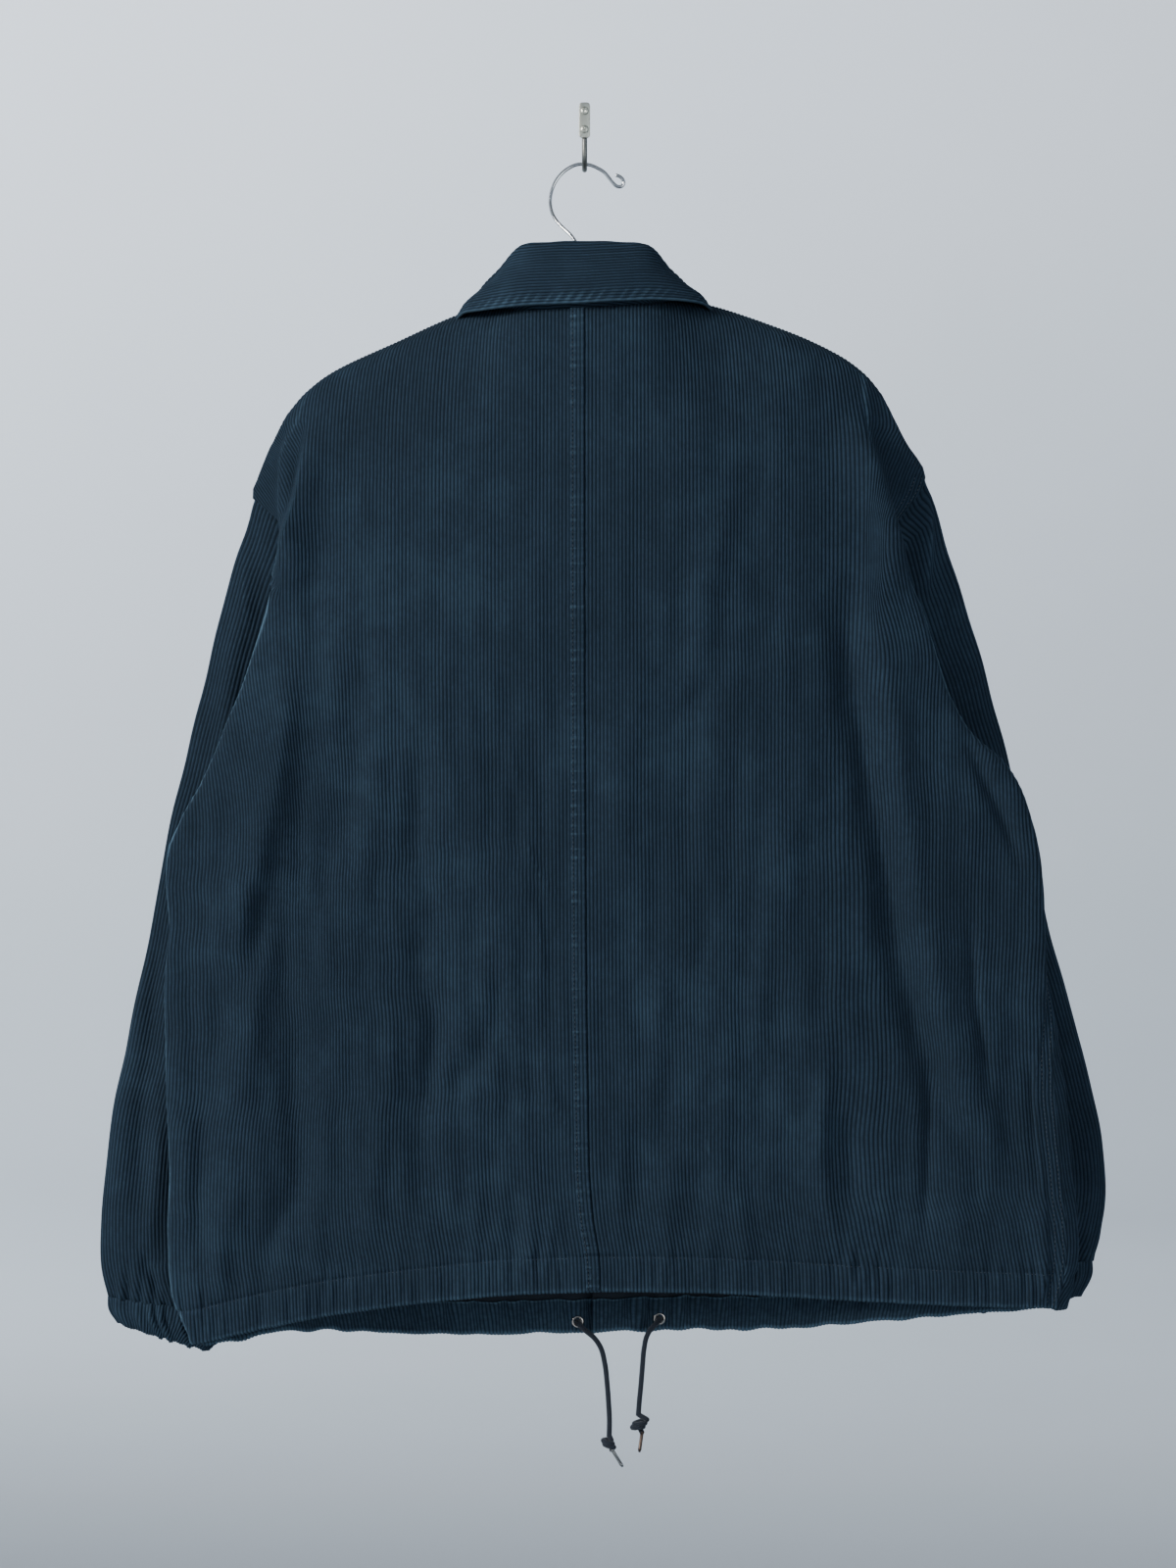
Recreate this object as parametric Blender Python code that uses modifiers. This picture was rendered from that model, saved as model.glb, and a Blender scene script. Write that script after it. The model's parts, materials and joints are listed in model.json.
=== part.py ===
"""Coach jacket of wide-wale corduroy, hung by its hanger on a small wall hook, its front to the wall.

Metres in the scene, millimetres in this file. +Z is up, +X is to the right for a viewer who faces the
wall, and the wall is the plane y = 0, so the jacket's back is at -Y. The origin is the middle of the
wall hook's plate on the wall. A drop is a distance in mm below the origin.
"""

import math
from typing import NamedTuple

import bmesh
import bpy
import numpy as np

MM = 0.001
OBJECT_NAME = "coach_jacket"

# Cloth
CLOTH = 1.6            # thickness of a cloth wall
SEAM = 0.3             # gap between two pieces at a flat seam
FOLDED_SEAM = 1.9      # how far each edge is drawn back where a seam is also a fold
SIDE_SEAM = 1.6        # the same along the side seam
PLY_GAP = 2.4          # from one ply's middle to that of the ply lying on it
COLLAR_CLOTH = 2.0     # the collar's two plies together
COLLAR_LIFT = 1.4      # the collar's cut edge stands this far above the neck seam
CASING_HEIGHT = 25.0   # turned-up hem that holds the drawstring
CASING_SHORT = 6       # columns of a panel by its side seam that the casing leaves out
FELL_WIDTH = 9.0       # raised strip beside the centre back seam
FELL_CLOTH = 1.0

# Front
FRONT_CENTRE = 26.0    # x of the fronts' centre line, off the wall hook's by the way it hangs
OVERLAP = 40.0         # how far the left front lies over the right one
FRONT_OUTER_Y = -8.3   # middle of the left front's cloth, the outer one
FRONT_INNER_Y = -12.9  # middle of the right front's cloth
SIDE_PUSH = 34.0       # how far the sleeves behind it push each front's side off the wall
SNAP_RADIUS = 7.5
SNAP_DEPTH = 2.4
SNAP_DROPS = (252.0, 395.0, 538.0, 681.0, 824.0)

# Drawstring
CORD_DIAMETER = 4.1
TIP_DIAMETER = 1.9
EYELET_RADIUS = 4.5
EYELET_HOLE = 2.3
EYELET_DEPTH = 1.0

# Hanger and wall hook
WIRE_DIAMETER = 3.2
BAR_DIAMETER = 10.0
PLATE_WIDTH = 8.5
PLATE_HEIGHT = 27.0
PLATE_DEPTH = 2.0
ROD_DIAMETER = 4.0
ROD_BEND = 12.0        # radius of the hook's U
ROD_Y = 2.6            # from the wall to the middle of the rod's rear leg
SCREW_RADIUS = 3.1
SCREW_DEPTH = 1.4
SCREW_DROPS = {"top": -7.0, "bottom": 7.0}

HOLD_Y = -44.0         # the plane of the hanger's bar and of the shoulder seams


class Point(NamedTuple):
    """A place on a seam or an outline."""

    x: float
    y: float
    drop: float


class CentreRow(NamedTuple):
    """The centre back seam at one height."""

    drop: float
    x: float
    y: float


class SideRow(NamedTuple):
    """One side of the body at one height.

    fold is the crest of the back's side fold, back and front are the two panels' edges (shoulder seam,
    then armhole, then side seam), turn is the front panel's first place past its edge, and rise is how
    far the back lies before the crest.
    """

    drop: float
    fold_x: float
    fold_y: float
    rise: float
    back_x: float
    back_y: float
    front_x: float
    front_y: float
    turn_x: float
    turn_y: float


class SleeveRing(NamedTuple):
    """A flattened ring of a sleeve or cuff, from its outer to its inner edge."""

    outer_x: float
    outer_drop: float
    inner_x: float
    inner_drop: float
    middle_y: float
    depth: float


class CollarStation(NamedTuple):
    """The collar's neck seam, roll line and fall edge at one place round the neck."""

    neck: Point
    roll: Point
    fall: Point


class Side(NamedTuple):
    """Everything that differs between the jacket's two sides."""

    name: str
    sign: int
    neck: tuple[Point, ...]       # back neck seam, centre to shoulder
    shoulder: tuple[Point, ...]   # shoulder seam, neck to where the arm of the hanger ends
    front_neck: tuple[Point, ...]  # front neck seam, centre to shoulder
    rows: tuple[SideRow, ...]
    armhole: tuple[float, float]  # drops of the shoulder point and the underarm
    rings: tuple[SleeveRing, ...]
    cuff: tuple[SleeveRing, ...]
    front_edge: float
    front_y: float


CENTRE = (
    CentreRow(157, 0.4, -78), CentreRow(200, 0.4, -84), CentreRow(262, 0.4, -90),
    CentreRow(350, 0.4, -93), CentreRow(450, 0.6, -92), CentreRow(577, 1.2, -88),
    CentreRow(721, 2.6, -80), CentreRow(829, 6.9, -73), CentreRow(858, 11.2, -71),
    CentreRow(880, 12.0, -70),
)

LEFT = Side(
    name="left", sign=-1,
    neck=(Point(0.4, -78, 157), Point(-45, -72, 157), Point(-84, HOLD_Y, 152)),
    shoulder=(
        Point(-104, HOLD_Y, 160), Point(-140, HOLD_Y, 175), Point(-174, HOLD_Y, 190),
        Point(-198, HOLD_Y, 204), Point(-214, HOLD_Y, 219), Point(-225.5, HOLD_Y, 234),
    ),
    front_neck=(Point(26, -9, 222), Point(-45, -15, 205), Point(-78, -30, 172), Point(-84, HOLD_Y, 152)),
    rows=(
        SideRow(262, -224, -58, 7, -239, -42, -239, -42, -236, -31),
        SideRow(291, -224.5, -62, 7, -248, -38, -248, -38, -243, -29),
        SideRow(299, -224.5, -63, 7, -238, -44, -238, -29, -233, -22),
        SideRow(309, -224, -63, 7, -227, -47, -229, -21, -223, -16),
        SideRow(330, -223, -64, 7, -219, -47, -220, -14, -213, -11),
        SideRow(365, -232, -65, 7, -218, -46, -215, -11, -208, -10),
        SideRow(405, -244, -66, 7, -222, -45, -214, -11, -207, -10),
        SideRow(440, -255, -66, 7, -229, -44, -217, -12, -210, -11),
        SideRow(475, -269, -66, 7, -239, -43, -224, -16, -216, -16),
        SideRow(505, -284, -66, 7, -249, -42, -235, -24, -227, -25),
        SideRow(530, -298, -66, 7, -257, -41, -249, -33, -240, -36),
        SideRow(548, -307, -66, 7, -262, -41, -262, -41, -252, -43),
        SideRow(575, -310, -64, 7, -268, -42, -268, -42, -258, -44),
        SideRow(610, -307, -63, 7, -274, -43, -274, -43, -264, -44),
        SideRow(650, -311, -62, 7, -280, -43, -280, -43, -270, -44),
        SideRow(720, -310, -60, 7, -288, -44, -288, -44, -278, -44),
        SideRow(800, -308, -58, 7, -294, -44, -294, -44, -284, -43),
        SideRow(850, -309, -57, 7, -298, -45, -298, -45, -288, -43),
        SideRow(886, -306, -56, 6, -297, -45, -297, -45, -288, -43),
        SideRow(922, -292, -55, 5, -286, -46, -286, -46, -278, -43),
    ),
    armhole=(291, 548),
    rings=(
        SleeveRing(-333, 640, -216, 648, -20, 26), SleeveRing(-341, 682, -218, 688, -20, 27),
        SleeveRing(-350, 728, -225, 732, -20, 27), SleeveRing(-359, 780, -233, 784, -20, 26),
        SleeveRing(-364.5, 835, -240, 842, -20, 26), SleeveRing(-364, 868, -250, 880, -20, 24),
        SleeveRing(-359, 892, -266, 903, -20, 20),
    ),
    cuff=(
        SleeveRing(-359, 892, -266, 903, -20, 20), SleeveRing(-358, 900, -266, 919, -20, 21),
        SleeveRing(-351, 909, -272, 935, -20, 19),
    ),
    front_edge=FRONT_CENTRE + OVERLAP / 2, front_y=FRONT_OUTER_Y,
)

RIGHT = Side(
    name="right", sign=1,
    neck=(Point(0.4, -78, 157), Point(48, -72, 155), Point(88, HOLD_Y, 147)),
    shoulder=(
        Point(106, HOLD_Y, 152), Point(132, HOLD_Y, 160), Point(171, HOLD_Y, 175),
        Point(198, HOLD_Y, 190), Point(214.5, HOLD_Y, 204), Point(225, HOLD_Y, 219),
    ),
    front_neck=(Point(26, -13.4, 222), Point(70, -16, 200), Point(88, -30, 168), Point(88, HOLD_Y, 147)),
    rows=(
        SideRow(250, 212, -58, 7, 241, -42, 241, -42, 238, -31),
        SideRow(275, 219, -61, 7, 255.5, -38, 255.5, -38, 250, -29),
        SideRow(288, 222, -62, 7, 250, -43, 245, -29, 240, -22),
        SideRow(299, 224.5, -62, 7, 241, -46, 236, -21, 230, -16),
        SideRow(312, 227, -63, 7, 231, -47, 229, -15, 222, -12),
        SideRow(338, 234, -64, 7, 225, -47, 222, -13, 215, -13),
        SideRow(374, 249, -65, 7, 227, -46, 220, -13, 213, -13),
        SideRow(410, 260.5, -66, 7, 233, -45, 225, -14, 218, -14),
        SideRow(445, 273, -66, 7, 243, -44, 234, -18, 226, -19),
        SideRow(470, 289, -66, 7, 254, -43, 245, -25, 236, -27),
        SideRow(490, 312, -66, 7, 266, -42, 259, -33, 249, -36),
        SideRow(510, 323, -66, 7, 278, -41, 278, -41, 268, -43),
        SideRow(541, 333, -64, 7, 287, -42, 287, -42, 277, -44),
        SideRow(575, 338, -63, 7, 299, -44, 299, -44, 289, -45),
        SideRow(620, 341, -62, 7, 324, -49, 324, -49, 314, -46),
        SideRow(660, 340, -65, 4, 343, -57, 343, -57, 337, -49),
        SideRow(720, 330, -69, 1, 342, -66, 342, -66, 348, -57),
        SideRow(800, 335, -67, 1, 348, -64, 348, -64, 356, -55),
        SideRow(840, 339, -65, 1, 352, -63, 352, -63, 360, -54),
        SideRow(870, 338, -64, 1, 351, -62, 351, -62, 359, -53),
        SideRow(895, 333, -63, 1, 345, -61, 345, -61, 353, -52),
    ),
    armhole=(275, 510),
    rings=(
        SleeveRing(352, 620, 238, 628, -21, 26), SleeveRing(365.5, 668, 244, 672, -20, 27),
        SleeveRing(378, 720, 256, 722, -20, 27), SleeveRing(389.5, 775, 269, 778, -20, 26),
        SleeveRing(393.5, 812, 278, 816, -20, 26), SleeveRing(390, 838, 284, 846, -20, 24),
        SleeveRing(382, 864, 293, 874, -20, 20),
    ),
    cuff=(
        SleeveRing(382, 864, 293, 874, -20, 20), SleeveRing(381.5, 874, 293, 887, -20, 21),
        SleeveRing(375, 887, 299, 898, -20, 19),
    ),
    front_edge=FRONT_CENTRE - OVERLAP / 2, front_y=FRONT_INNER_Y,
)

# Hem edges as (x, drop), from left to right
BACK_HEM = (
    (-330, 926), (-290, 922), (-240, 909), (-184, 899), (-97, 887), (-13, 881.5), (42, 880.5),
    (148, 885), (256, 891), (355, 895), (400, 896),
)
FRONT_HEM = (
    (-330, 926), (-289, 924), (-257, 923), (-240, 919), (-196, 922), (-145, 923), (-89, 922), (6, 920),
    (91, 917), (162, 917), (225, 910), (292, 905), (345, 898), (400, 896),
)

COLLAR = (
    CollarStation(Point(25, -9, 221), Point(22, -11, 199), Point(-6, -4.5, 246)),
    CollarStation(Point(-45, -15, 203), Point(-40, -14, 186), Point(-72, -6, 222)),
    CollarStation(Point(-78, -30, 169), Point(-85, -26, 154), Point(-103, -9, 178)),
    CollarStation(Point(-84, -44, 150.5), Point(-80, -44, 135), Point(-97, -48, 149.5)),
    CollarStation(Point(-70, -62, 155), Point(-62, -58, 115), Point(-77, -72, 151)),
    CollarStation(Point(-45, -72, 156), Point(-42, -67, 104), Point(-46, -82, 150.5)),
    CollarStation(Point(2, -78, 156), Point(2, -71, 102.5), Point(2, -87, 149)),
    CollarStation(Point(48, -72, 154), Point(44, -67, 104), Point(50, -82, 147)),
    CollarStation(Point(73, -62, 151), Point(63, -58, 113), Point(79, -72, 147.5)),
    CollarStation(Point(88, -44, 145.5), Point(82, -44, 132), Point(98, -48, 144.5)),
    CollarStation(Point(88, -30, 165), Point(91, -26, 149), Point(109, -9, 170)),
    CollarStation(Point(70, -17, 198), Point(72, -15.5, 183), Point(98, -6, 216)),
    CollarStation(Point(28, -13.4, 221), Point(31, -12.5, 199), Point(58, -5, 244)),
)

# The drawstring's free ends: from the eyelet to the knot
CORD_ROUTES = {
    "left": (
        Point(-5.2, -13.2, 912.3), Point(-4.6, -16.5, 912.9), Point(-2.6, -19.4, 915), Point(1.5, -20.6, 918.4),
        Point(7, -20.4, 923), Point(12, -19.2, 930.5), Point(15.3, -18, 943), Point(17, -17.4, 957.5),
        Point(18.1, -17.2, 972), Point(18.8, -17, 986), Point(18.6, -17, 998.5),
    ),
    "right": (
        Point(56.6, -17.8, 909.3), Point(56, -21.1, 909.9), Point(54, -23.8, 912), Point(50.2, -24.8, 915.6),
        Point(46.9, -24.2, 921.6), Point(44.9, -22.6, 931), Point(43.7, -20.8, 945), Point(42.5, -19.4, 960),
        Point(41.2, -18.2, 974), Point(40.6, -18, 982.5),
    ),
}
KNOTS = {"left": (Point(18, -17, 1003.5), 5.0), "right": (Point(42, -18, 988.4), 5.6)}
TIPS = {
    "left": (Point(20.6, -17, 1007.9), Point(28.5, -17, 1019.5)),
    "right": (Point(43.6, -18, 994.2), Point(42.6, -18, 1009.5)),
}
EYELETS = {"left": Point(-5.2, -11.9, 912.3), "right": Point(56.6, -16.5, 909.3)}

# The hanger's wire, from its curled tip over the wall hook and down to the bar
WIRE_ROUTE = (
    Point(23.5, -15, 44.6), Point(26.6, -15, 46), Point(29.6, -15, 49.2), Point(30.2, -15, 52.6),
    Point(28, -15, 55.4), Point(24.6, -15, 55.8), Point(21.4, -15, 53), Point(18.8, -15, 48.6),
    Point(15, -15, 43.2), Point(9.8, -15, 39), Point(4.6, -15, 36.8), Point(0, -15, 36),
    Point(-6, -15, 36.4), Point(-12, -15, 39), Point(-17.6, -15, 43.4), Point(-22.4, -15.2, 50),
    Point(-25.2, -15.8, 57.4), Point(-26, -17, 64.6), Point(-25, -19.4, 72), Point(-21.6, -23, 79.6),
    Point(-16, -27, 86.4), Point(-10.4, -30.4, 92.2), Point(-6.2, -34, 99), Point(-4.4, -38, 110),
    Point(-4, -41.4, 122), Point(-4, -43.4, 134), Point(-4, -44, 142),
)
BAR_ROUTE = (
    Point(-213, -45, 233), Point(-206, -45, 225), Point(-194, -45, 214), Point(-172, -45, 201),
    Point(-140, -45, 186.5), Point(-104, -46, 172.5), Point(-70, -46, 162), Point(-36, -45, 152),
    Point(-4, -44, 147.5), Point(36, -45, 150), Point(74, -46, 158), Point(104, -46, 164),
    Point(130, -45, 171.5), Point(168, -45, 186.5), Point(192, -45, 199), Point(203, -45, 209),
    Point(208, -45, 216),
)

# Blends of the rows between the shoulder and the first whole row, and columns of a panel
TOP_BLENDS = (0.0, 0.07, 0.22, 0.5)
SHOULDER_SHARES = (0.4, 0.66, 0.82, 0.94, 1.0)  # where the columns meet the shoulder seam
TOP_EASE = 0.5          # the cloth leaves the shoulder nearly level
BACK_COLUMNS = (0.0, 0.25, 0.5, 0.75)   # shares of the way to the side fold
FOLD_LEAD = 14.0        # the last column before the fold's crest
HEM_BLENDS = (0.34, 0.68, 1.0)
FRONT_COLUMNS = (0.05, 0.14, 0.25, 0.38, 0.6, 0.82, 1.0)
SLEEVE_BLENDS = (0.0, 0.1, 0.28, 0.5, 0.75)
SLEEVE_EASE = 0.4       # it goes behind the front before it goes in under the arm
UNDERARM_EASE = 1.4
UNDERARM_TURN = 60.0    # below the underarm the sleeve is back behind the front
SLEEVE_CLEAR = 3.5      # how far a sleeve's back ply stays outside the armhole
SLEEVE_BULGE = 4.5
ROUNDNESS = 0.8         # exponent that fills out a flattened ring

# Materials: colour, roughness, metallic
CORDUROY = ("corduroy", (0.035, 0.065, 0.100), 0.95, 0.0)
CORD_FINISH = ("navy_cord", (0.012, 0.020, 0.034), 0.90, 0.0)
CHROME = ("chrome_wire", (0.72, 0.73, 0.74), 0.15, 1.0)
NICKEL = ("nickel", (0.55, 0.55, 0.53), 0.30, 1.0)
BRONZE = ("bronze_tip", (0.16, 0.13, 0.10), 0.40, 1.0)
ZINC = ("zinc_hook", (0.30, 0.33, 0.30), 0.45, 1.0)
SNAP_FINISH = ("snap_cap", (0.02, 0.03, 0.045), 0.35, 0.0)
HANGER_FINISH = ("hanger_bar", (0.03, 0.03, 0.032), 0.45, 0.0)


def curve_at(knots, values, at):
    """Values at the places `at` on a smooth curve through values at the knots."""
    knots, values, at = (np.asarray(a, float) for a in (knots, values, at))
    slopes = np.gradient(values, knots, axis=0)
    left = np.clip(np.searchsorted(knots, at, side="right") - 1, 0, len(knots) - 2)
    width = knots[left + 1] - knots[left]
    t = (at - knots[left]) / width
    shape = (-1,) + (1,) * (values.ndim - 1)
    t, width = t.reshape(shape), width.reshape(shape)
    return (
        values[left] * (1 + 2 * t) * (1 - t) ** 2
        + values[left + 1] * t * t * (3 - 2 * t)
        + slopes[left] * width * t * (1 - t) ** 2
        - slopes[left + 1] * width * t * t * (1 - t)
    )


def along(points, shares):
    """Places at the given shares of the length of a smooth curve through points."""
    points = np.array(points, float)
    steps = np.linalg.norm(np.diff(points, axis=0), axis=1)
    reached = np.concatenate([[0], np.cumsum(steps)])
    return curve_at(reached / reached[-1], points, shares)


def smoothstep(value):
    value = np.clip(value, 0, 1)
    return value * value * (3 - 2 * value)


def material(finish):
    """The material of a finish, made on first use."""
    name, colour, roughness, metallic = finish
    made = bpy.data.materials.get(name)
    if made is None:
        made = bpy.data.materials.new(name)
        made.use_nodes = True
        shader = made.node_tree.nodes["Principled BSDF"]
        shader.inputs["Base Color"].default_value = (*colour, 1)
        shader.inputs["Roughness"].default_value = roughness
        shader.inputs["Metallic"].default_value = metallic
        made.diffuse_color = (*colour, 1)
    return made


def add_object(name, data, finish, collection):
    """A new object that holds data, in its finish."""
    made = bpy.data.objects.new(name, data)
    data.materials.append(material(finish))
    collection.objects.link(made)
    return made


def in_metres(points):
    """Rows of (x, y, drop) in mm as (x, y, z) in metres."""
    return np.asarray(points, float) * (MM, MM, -MM)


def cloth(name, grid, collection, thickness=CLOTH, finish=CORDUROY, tube=False):
    """A wall of cloth whose middle runs through a grid of (x, y, drop) points."""
    grid = in_metres(grid)
    across, down = grid.shape[1] - 1, grid.shape[0] - 1
    sheet = bmesh.new()
    bmesh.ops.create_grid(sheet, x_segments=across, y_segments=down, size=0.5)
    for vertex in sheet.verts:
        column = round((vertex.co.x + 0.5) * across)
        row = round((vertex.co.y + 0.5) * down)
        vertex.co = grid[row, column]
    if tube:
        bmesh.ops.remove_doubles(sheet, verts=sheet.verts, dist=1e-6)
    data = bpy.data.meshes.new(name)
    sheet.to_mesh(data)
    sheet.free()
    made = add_object(name, data, finish, collection)
    wall = made.modifiers.new("cloth", "SOLIDIFY")
    wall.thickness = thickness * MM
    wall.offset = 0
    return made


def tube(name, route, diameter, finish, collection, spacing=2.4, resolution=2):
    """A round wire, rod or cord through a route, on a curve with a point every few diameters."""
    points = np.array(route, float)
    length = np.linalg.norm(np.diff(points, axis=0), axis=1).sum()
    count = max(3, round(length / (spacing * diameter)))
    points = in_metres(along(points, np.linspace(0, 1, count + 1)))
    data = bpy.data.curves.new(name, "CURVE")
    data.dimensions = "3D"
    data.bevel_depth = diameter * MM / 2
    data.bevel_resolution = resolution
    data.use_fill_caps = True
    spline = data.splines.new("POLY")
    spline.points.add(len(points) - 1)
    for place, point in zip(spline.points, points, strict=True):
        place.co = (*point, 1)
    return add_object(name, data, finish, collection)


def disc(name, place, radius, depth, finish, collection, rim=0.4, sides=16):
    """A round cap with a soft rim, whose back face is at place and which stands out along -axis."""
    shape = bmesh.new()
    bmesh.ops.create_cone(
        shape, cap_ends=True, segments=sides, radius1=radius * MM, radius2=radius * MM, depth=depth * MM
    )
    data = bpy.data.meshes.new(name)
    shape.to_mesh(data)
    shape.free()
    made = add_object(name, data, finish, collection)
    made.rotation_euler.x = math.pi / 2
    made.location = in_metres([(place.x, place.y - depth / 2, place.drop)])[0]
    soft = made.modifiers.new("rim", "BEVEL")
    soft.width = rim * MM
    soft.limit_method = "ANGLE"
    return made


def pulled_in(grid, first=0.0, last=0.0, top=0.0, bottom=0.0):
    """A grid whose edges are drawn back from its seams by these distances."""
    grid = grid.copy()
    for index, inner, gap in ((0, 1, first), (-1, -2, last)):
        step = grid[:, inner] - grid[:, index]
        grid[:, index] += step * gap / np.linalg.norm(step, axis=1, keepdims=True)
    for index, inner, gap in ((0, 1, top), (-1, -2, bottom)):
        step = grid[inner] - grid[index]
        grid[index] += step * gap / np.linalg.norm(step, axis=1, keepdims=True)
    return grid


def moved_out(grid, distance):
    """A grid moved along its own normals, towards the side that faces -Y."""
    down, across = np.gradient(grid, axis=0), np.gradient(grid, axis=1)
    normal = np.cross(down, across)
    normal /= np.linalg.norm(normal, axis=2, keepdims=True)
    normal *= np.where(normal[..., 1:2] > 0, -1, 1)
    return grid + normal * distance


def side_at(side, drop):
    """The side's row at a drop, between its table's rows."""
    table = np.array(side.rows, float)
    return SideRow(*curve_at(table[:, 0], table, [drop])[0])


def back_row(side, drop):
    """One level row of a back half, from the centre seam to its edge."""
    centre = np.array(CENTRE, float)
    _, centre_x, centre_y = curve_at(centre[:, 0], centre, [drop])[0]
    row = side_at(side, drop)
    lead_x = row.fold_x - side.sign * FOLD_LEAD
    lead_y = row.fold_y - row.rise
    points = [
        (centre_x + share * (lead_x - centre_x), centre_y + (lead_y - centre_y) * share ** 2.2, drop)
        for share in BACK_COLUMNS
    ]
    points.append((lead_x, lead_y, drop))
    points.append((row.fold_x, row.fold_y, drop))
    tuck_x = row.fold_x + 0.25 * (row.back_x - row.fold_x)
    tuck_y = row.fold_y + 0.5 * (row.back_y - row.fold_y)
    points.append((tuck_x, tuck_y, drop))
    points.append((row.back_x, row.back_y, drop))
    return points


def front_depth(side, x, drop):
    """How near the wall a front lies: flat in the middle, and pushed off it by the sleeve at its side."""
    push = smoothstep((np.abs(x) - 180) / 55) * smoothstep((drop - side.armhole[1] + 80) / 100)
    return side.front_y - SIDE_PUSH * push


def front_row(side, drop):
    """One level row of a front, from its edge at the side to its edge at the centre."""
    row = side_at(side, drop)
    points = [(row.front_x, row.front_y, drop), (row.turn_x, row.turn_y, drop)]
    for share in FRONT_COLUMNS:
        x = row.turn_x + share * (side.front_edge - row.turn_x)
        points.append((x, float(front_depth(side, x, drop)), drop))
    return points


def top_rows(top, first_row):
    """The rows between a panel's top edge and its first level row."""
    top, first_row = np.array(top, float), np.array(first_row, float)
    for blend in TOP_BLENDS:
        share = np.array([blend, blend ** TOP_EASE, blend])
        yield top + (first_row - top) * share


def hem_rows(last_row, hem, sample):
    """The rows that turn the last level row into the hem's curve. sample gives a level row by its drop."""
    places, drops = np.array(hem, float).T
    last_row = np.array(last_row, float)
    for blend in HEM_BLENDS:
        row = last_row.copy()
        for _ in range(3):  # each column's drop depends on its x, which depends on its drop
            edge = curve_at(places, drops, row[:, 0])
            drop = last_row[:, 2] + blend * (edge - last_row[:, 2])
            row = np.array([sample(d)[k] for k, d in enumerate(drop)], float)
        yield row


def refined(rows, columns):
    """Rows resampled to this many columns on a smooth curve through their points."""
    rows = np.array(rows, float)
    knots = np.arange(rows.shape[1])
    at = np.linspace(0, knots[-1], columns + 1)
    return np.stack([curve_at(knots, row, at) for row in rows])


def level_drops(side):
    """The heights of a side's level rows."""
    return [row.drop for row in side.rows if row.drop <= 800]


def back_grid(side):
    """The middle of a back half's cloth: neck and shoulder, side fold, and down to the hem."""
    drops = level_drops(side)
    level = [back_row(side, drop) for drop in drops]
    neck = along(side.neck, (0, 0.5, 1))
    shoulder = along(side.neck[-1:] + side.shoulder, SHOULDER_SHARES)
    rows = list(top_rows(np.concatenate([neck, shoulder]), level[0])) + level
    rows += hem_rows(level[-1], BACK_HEM, lambda drop: back_row(side, drop))
    return refined(rows, 14)


def front_grid(side):
    """The middle of a front's cloth, from the side to the centre edge."""
    drops = level_drops(side)
    level = [front_row(side, drop) for drop in drops]
    shoulder = along(side.neck[-1:] + side.shoulder, SHOULDER_SHARES)[::-1]
    neck = along(side.front_neck[::-1], (0, 0.45, 0.8))
    edge = np.array([(side.front_edge, side.front_y, side.front_neck[0].drop)])
    rows = list(top_rows(np.concatenate([shoulder, neck, edge]), level[0])) + level
    rows += hem_rows(level[-1], FRONT_HEM, lambda drop: front_row(side, drop))
    return refined(rows, 16)


def armhole_rows(side):
    """The numbers of a panel's rows at the shoulder point and at the underarm."""
    first = len(TOP_BLENDS)
    drops = level_drops(side)
    return first + drops.index(side.armhole[0]), first + drops.index(side.armhole[1])


def ring_points(ring, count):
    """A flattened ring: outer edge, past the side towards the viewer, inner edge, and back."""
    turn = np.linspace(0, 2 * math.pi, count + 1)
    share = (1 - np.cos(turn)) / 2
    bulge = np.sign(np.sin(turn)) * np.abs(np.sin(turn)) ** ROUNDNESS
    return np.stack(
        [
            ring.outer_x + share * (ring.inner_x - ring.outer_x),
            ring.middle_y - bulge * ring.depth / 2,
            ring.outer_drop + share * (ring.inner_drop - ring.outer_drop),
        ],
        axis=1,
    )


def sleeve_grid(side, back, front):
    """The middle of a sleeve's cloth: the armhole's own points, fanned out into the hanging tube."""
    shoulder, underarm = armhole_rows(side)
    armhole = np.concatenate([back[shoulder : underarm + 1, -1], front[shoulder:underarm, 0][::-1]])
    count = len(armhole) - 1
    hanging = [ring_points(ring, count) for ring in side.rings]
    outer = (1 + np.cos(np.linspace(0, 2 * math.pi, count + 1))) / 2
    rows = []
    for blend in SLEEVE_BLENDS:
        share = np.full((count + 1, 3), blend)
        share[:, 0] = blend ** (1 + UNDERARM_EASE * (1 - outer))
        share[:, 1] = blend ** SLEEVE_EASE
        row = armhole + (hanging[0] - armhole) * share
        row[:, 0] += side.sign * SLEEVE_BULGE * math.sin(math.pi * blend) * outer
        rows.append(beside_armhole(side, back[shoulder : underarm + 1, -1], row) if blend else row)
    return np.array(rows + hanging)


def beside_armhole(side, seam, row):
    """A row of a sleeve whose back ply is kept outside the seam that it hangs past."""
    drops = np.append(seam[:, 2], seam[-1, 2] + UNDERARM_TURN)
    least = np.append(side.sign * seam[:, 0] + SLEEVE_CLEAR, side.sign * seam[-1, 0] - UNDERARM_TURN / 2)
    ply = slice(0, len(row) // 2 + 1)
    reach = np.maximum(side.sign * row[ply, 0], np.interp(row[ply, 2], drops, least))
    row[ply, 0] = side.sign * reach
    return row


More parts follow.
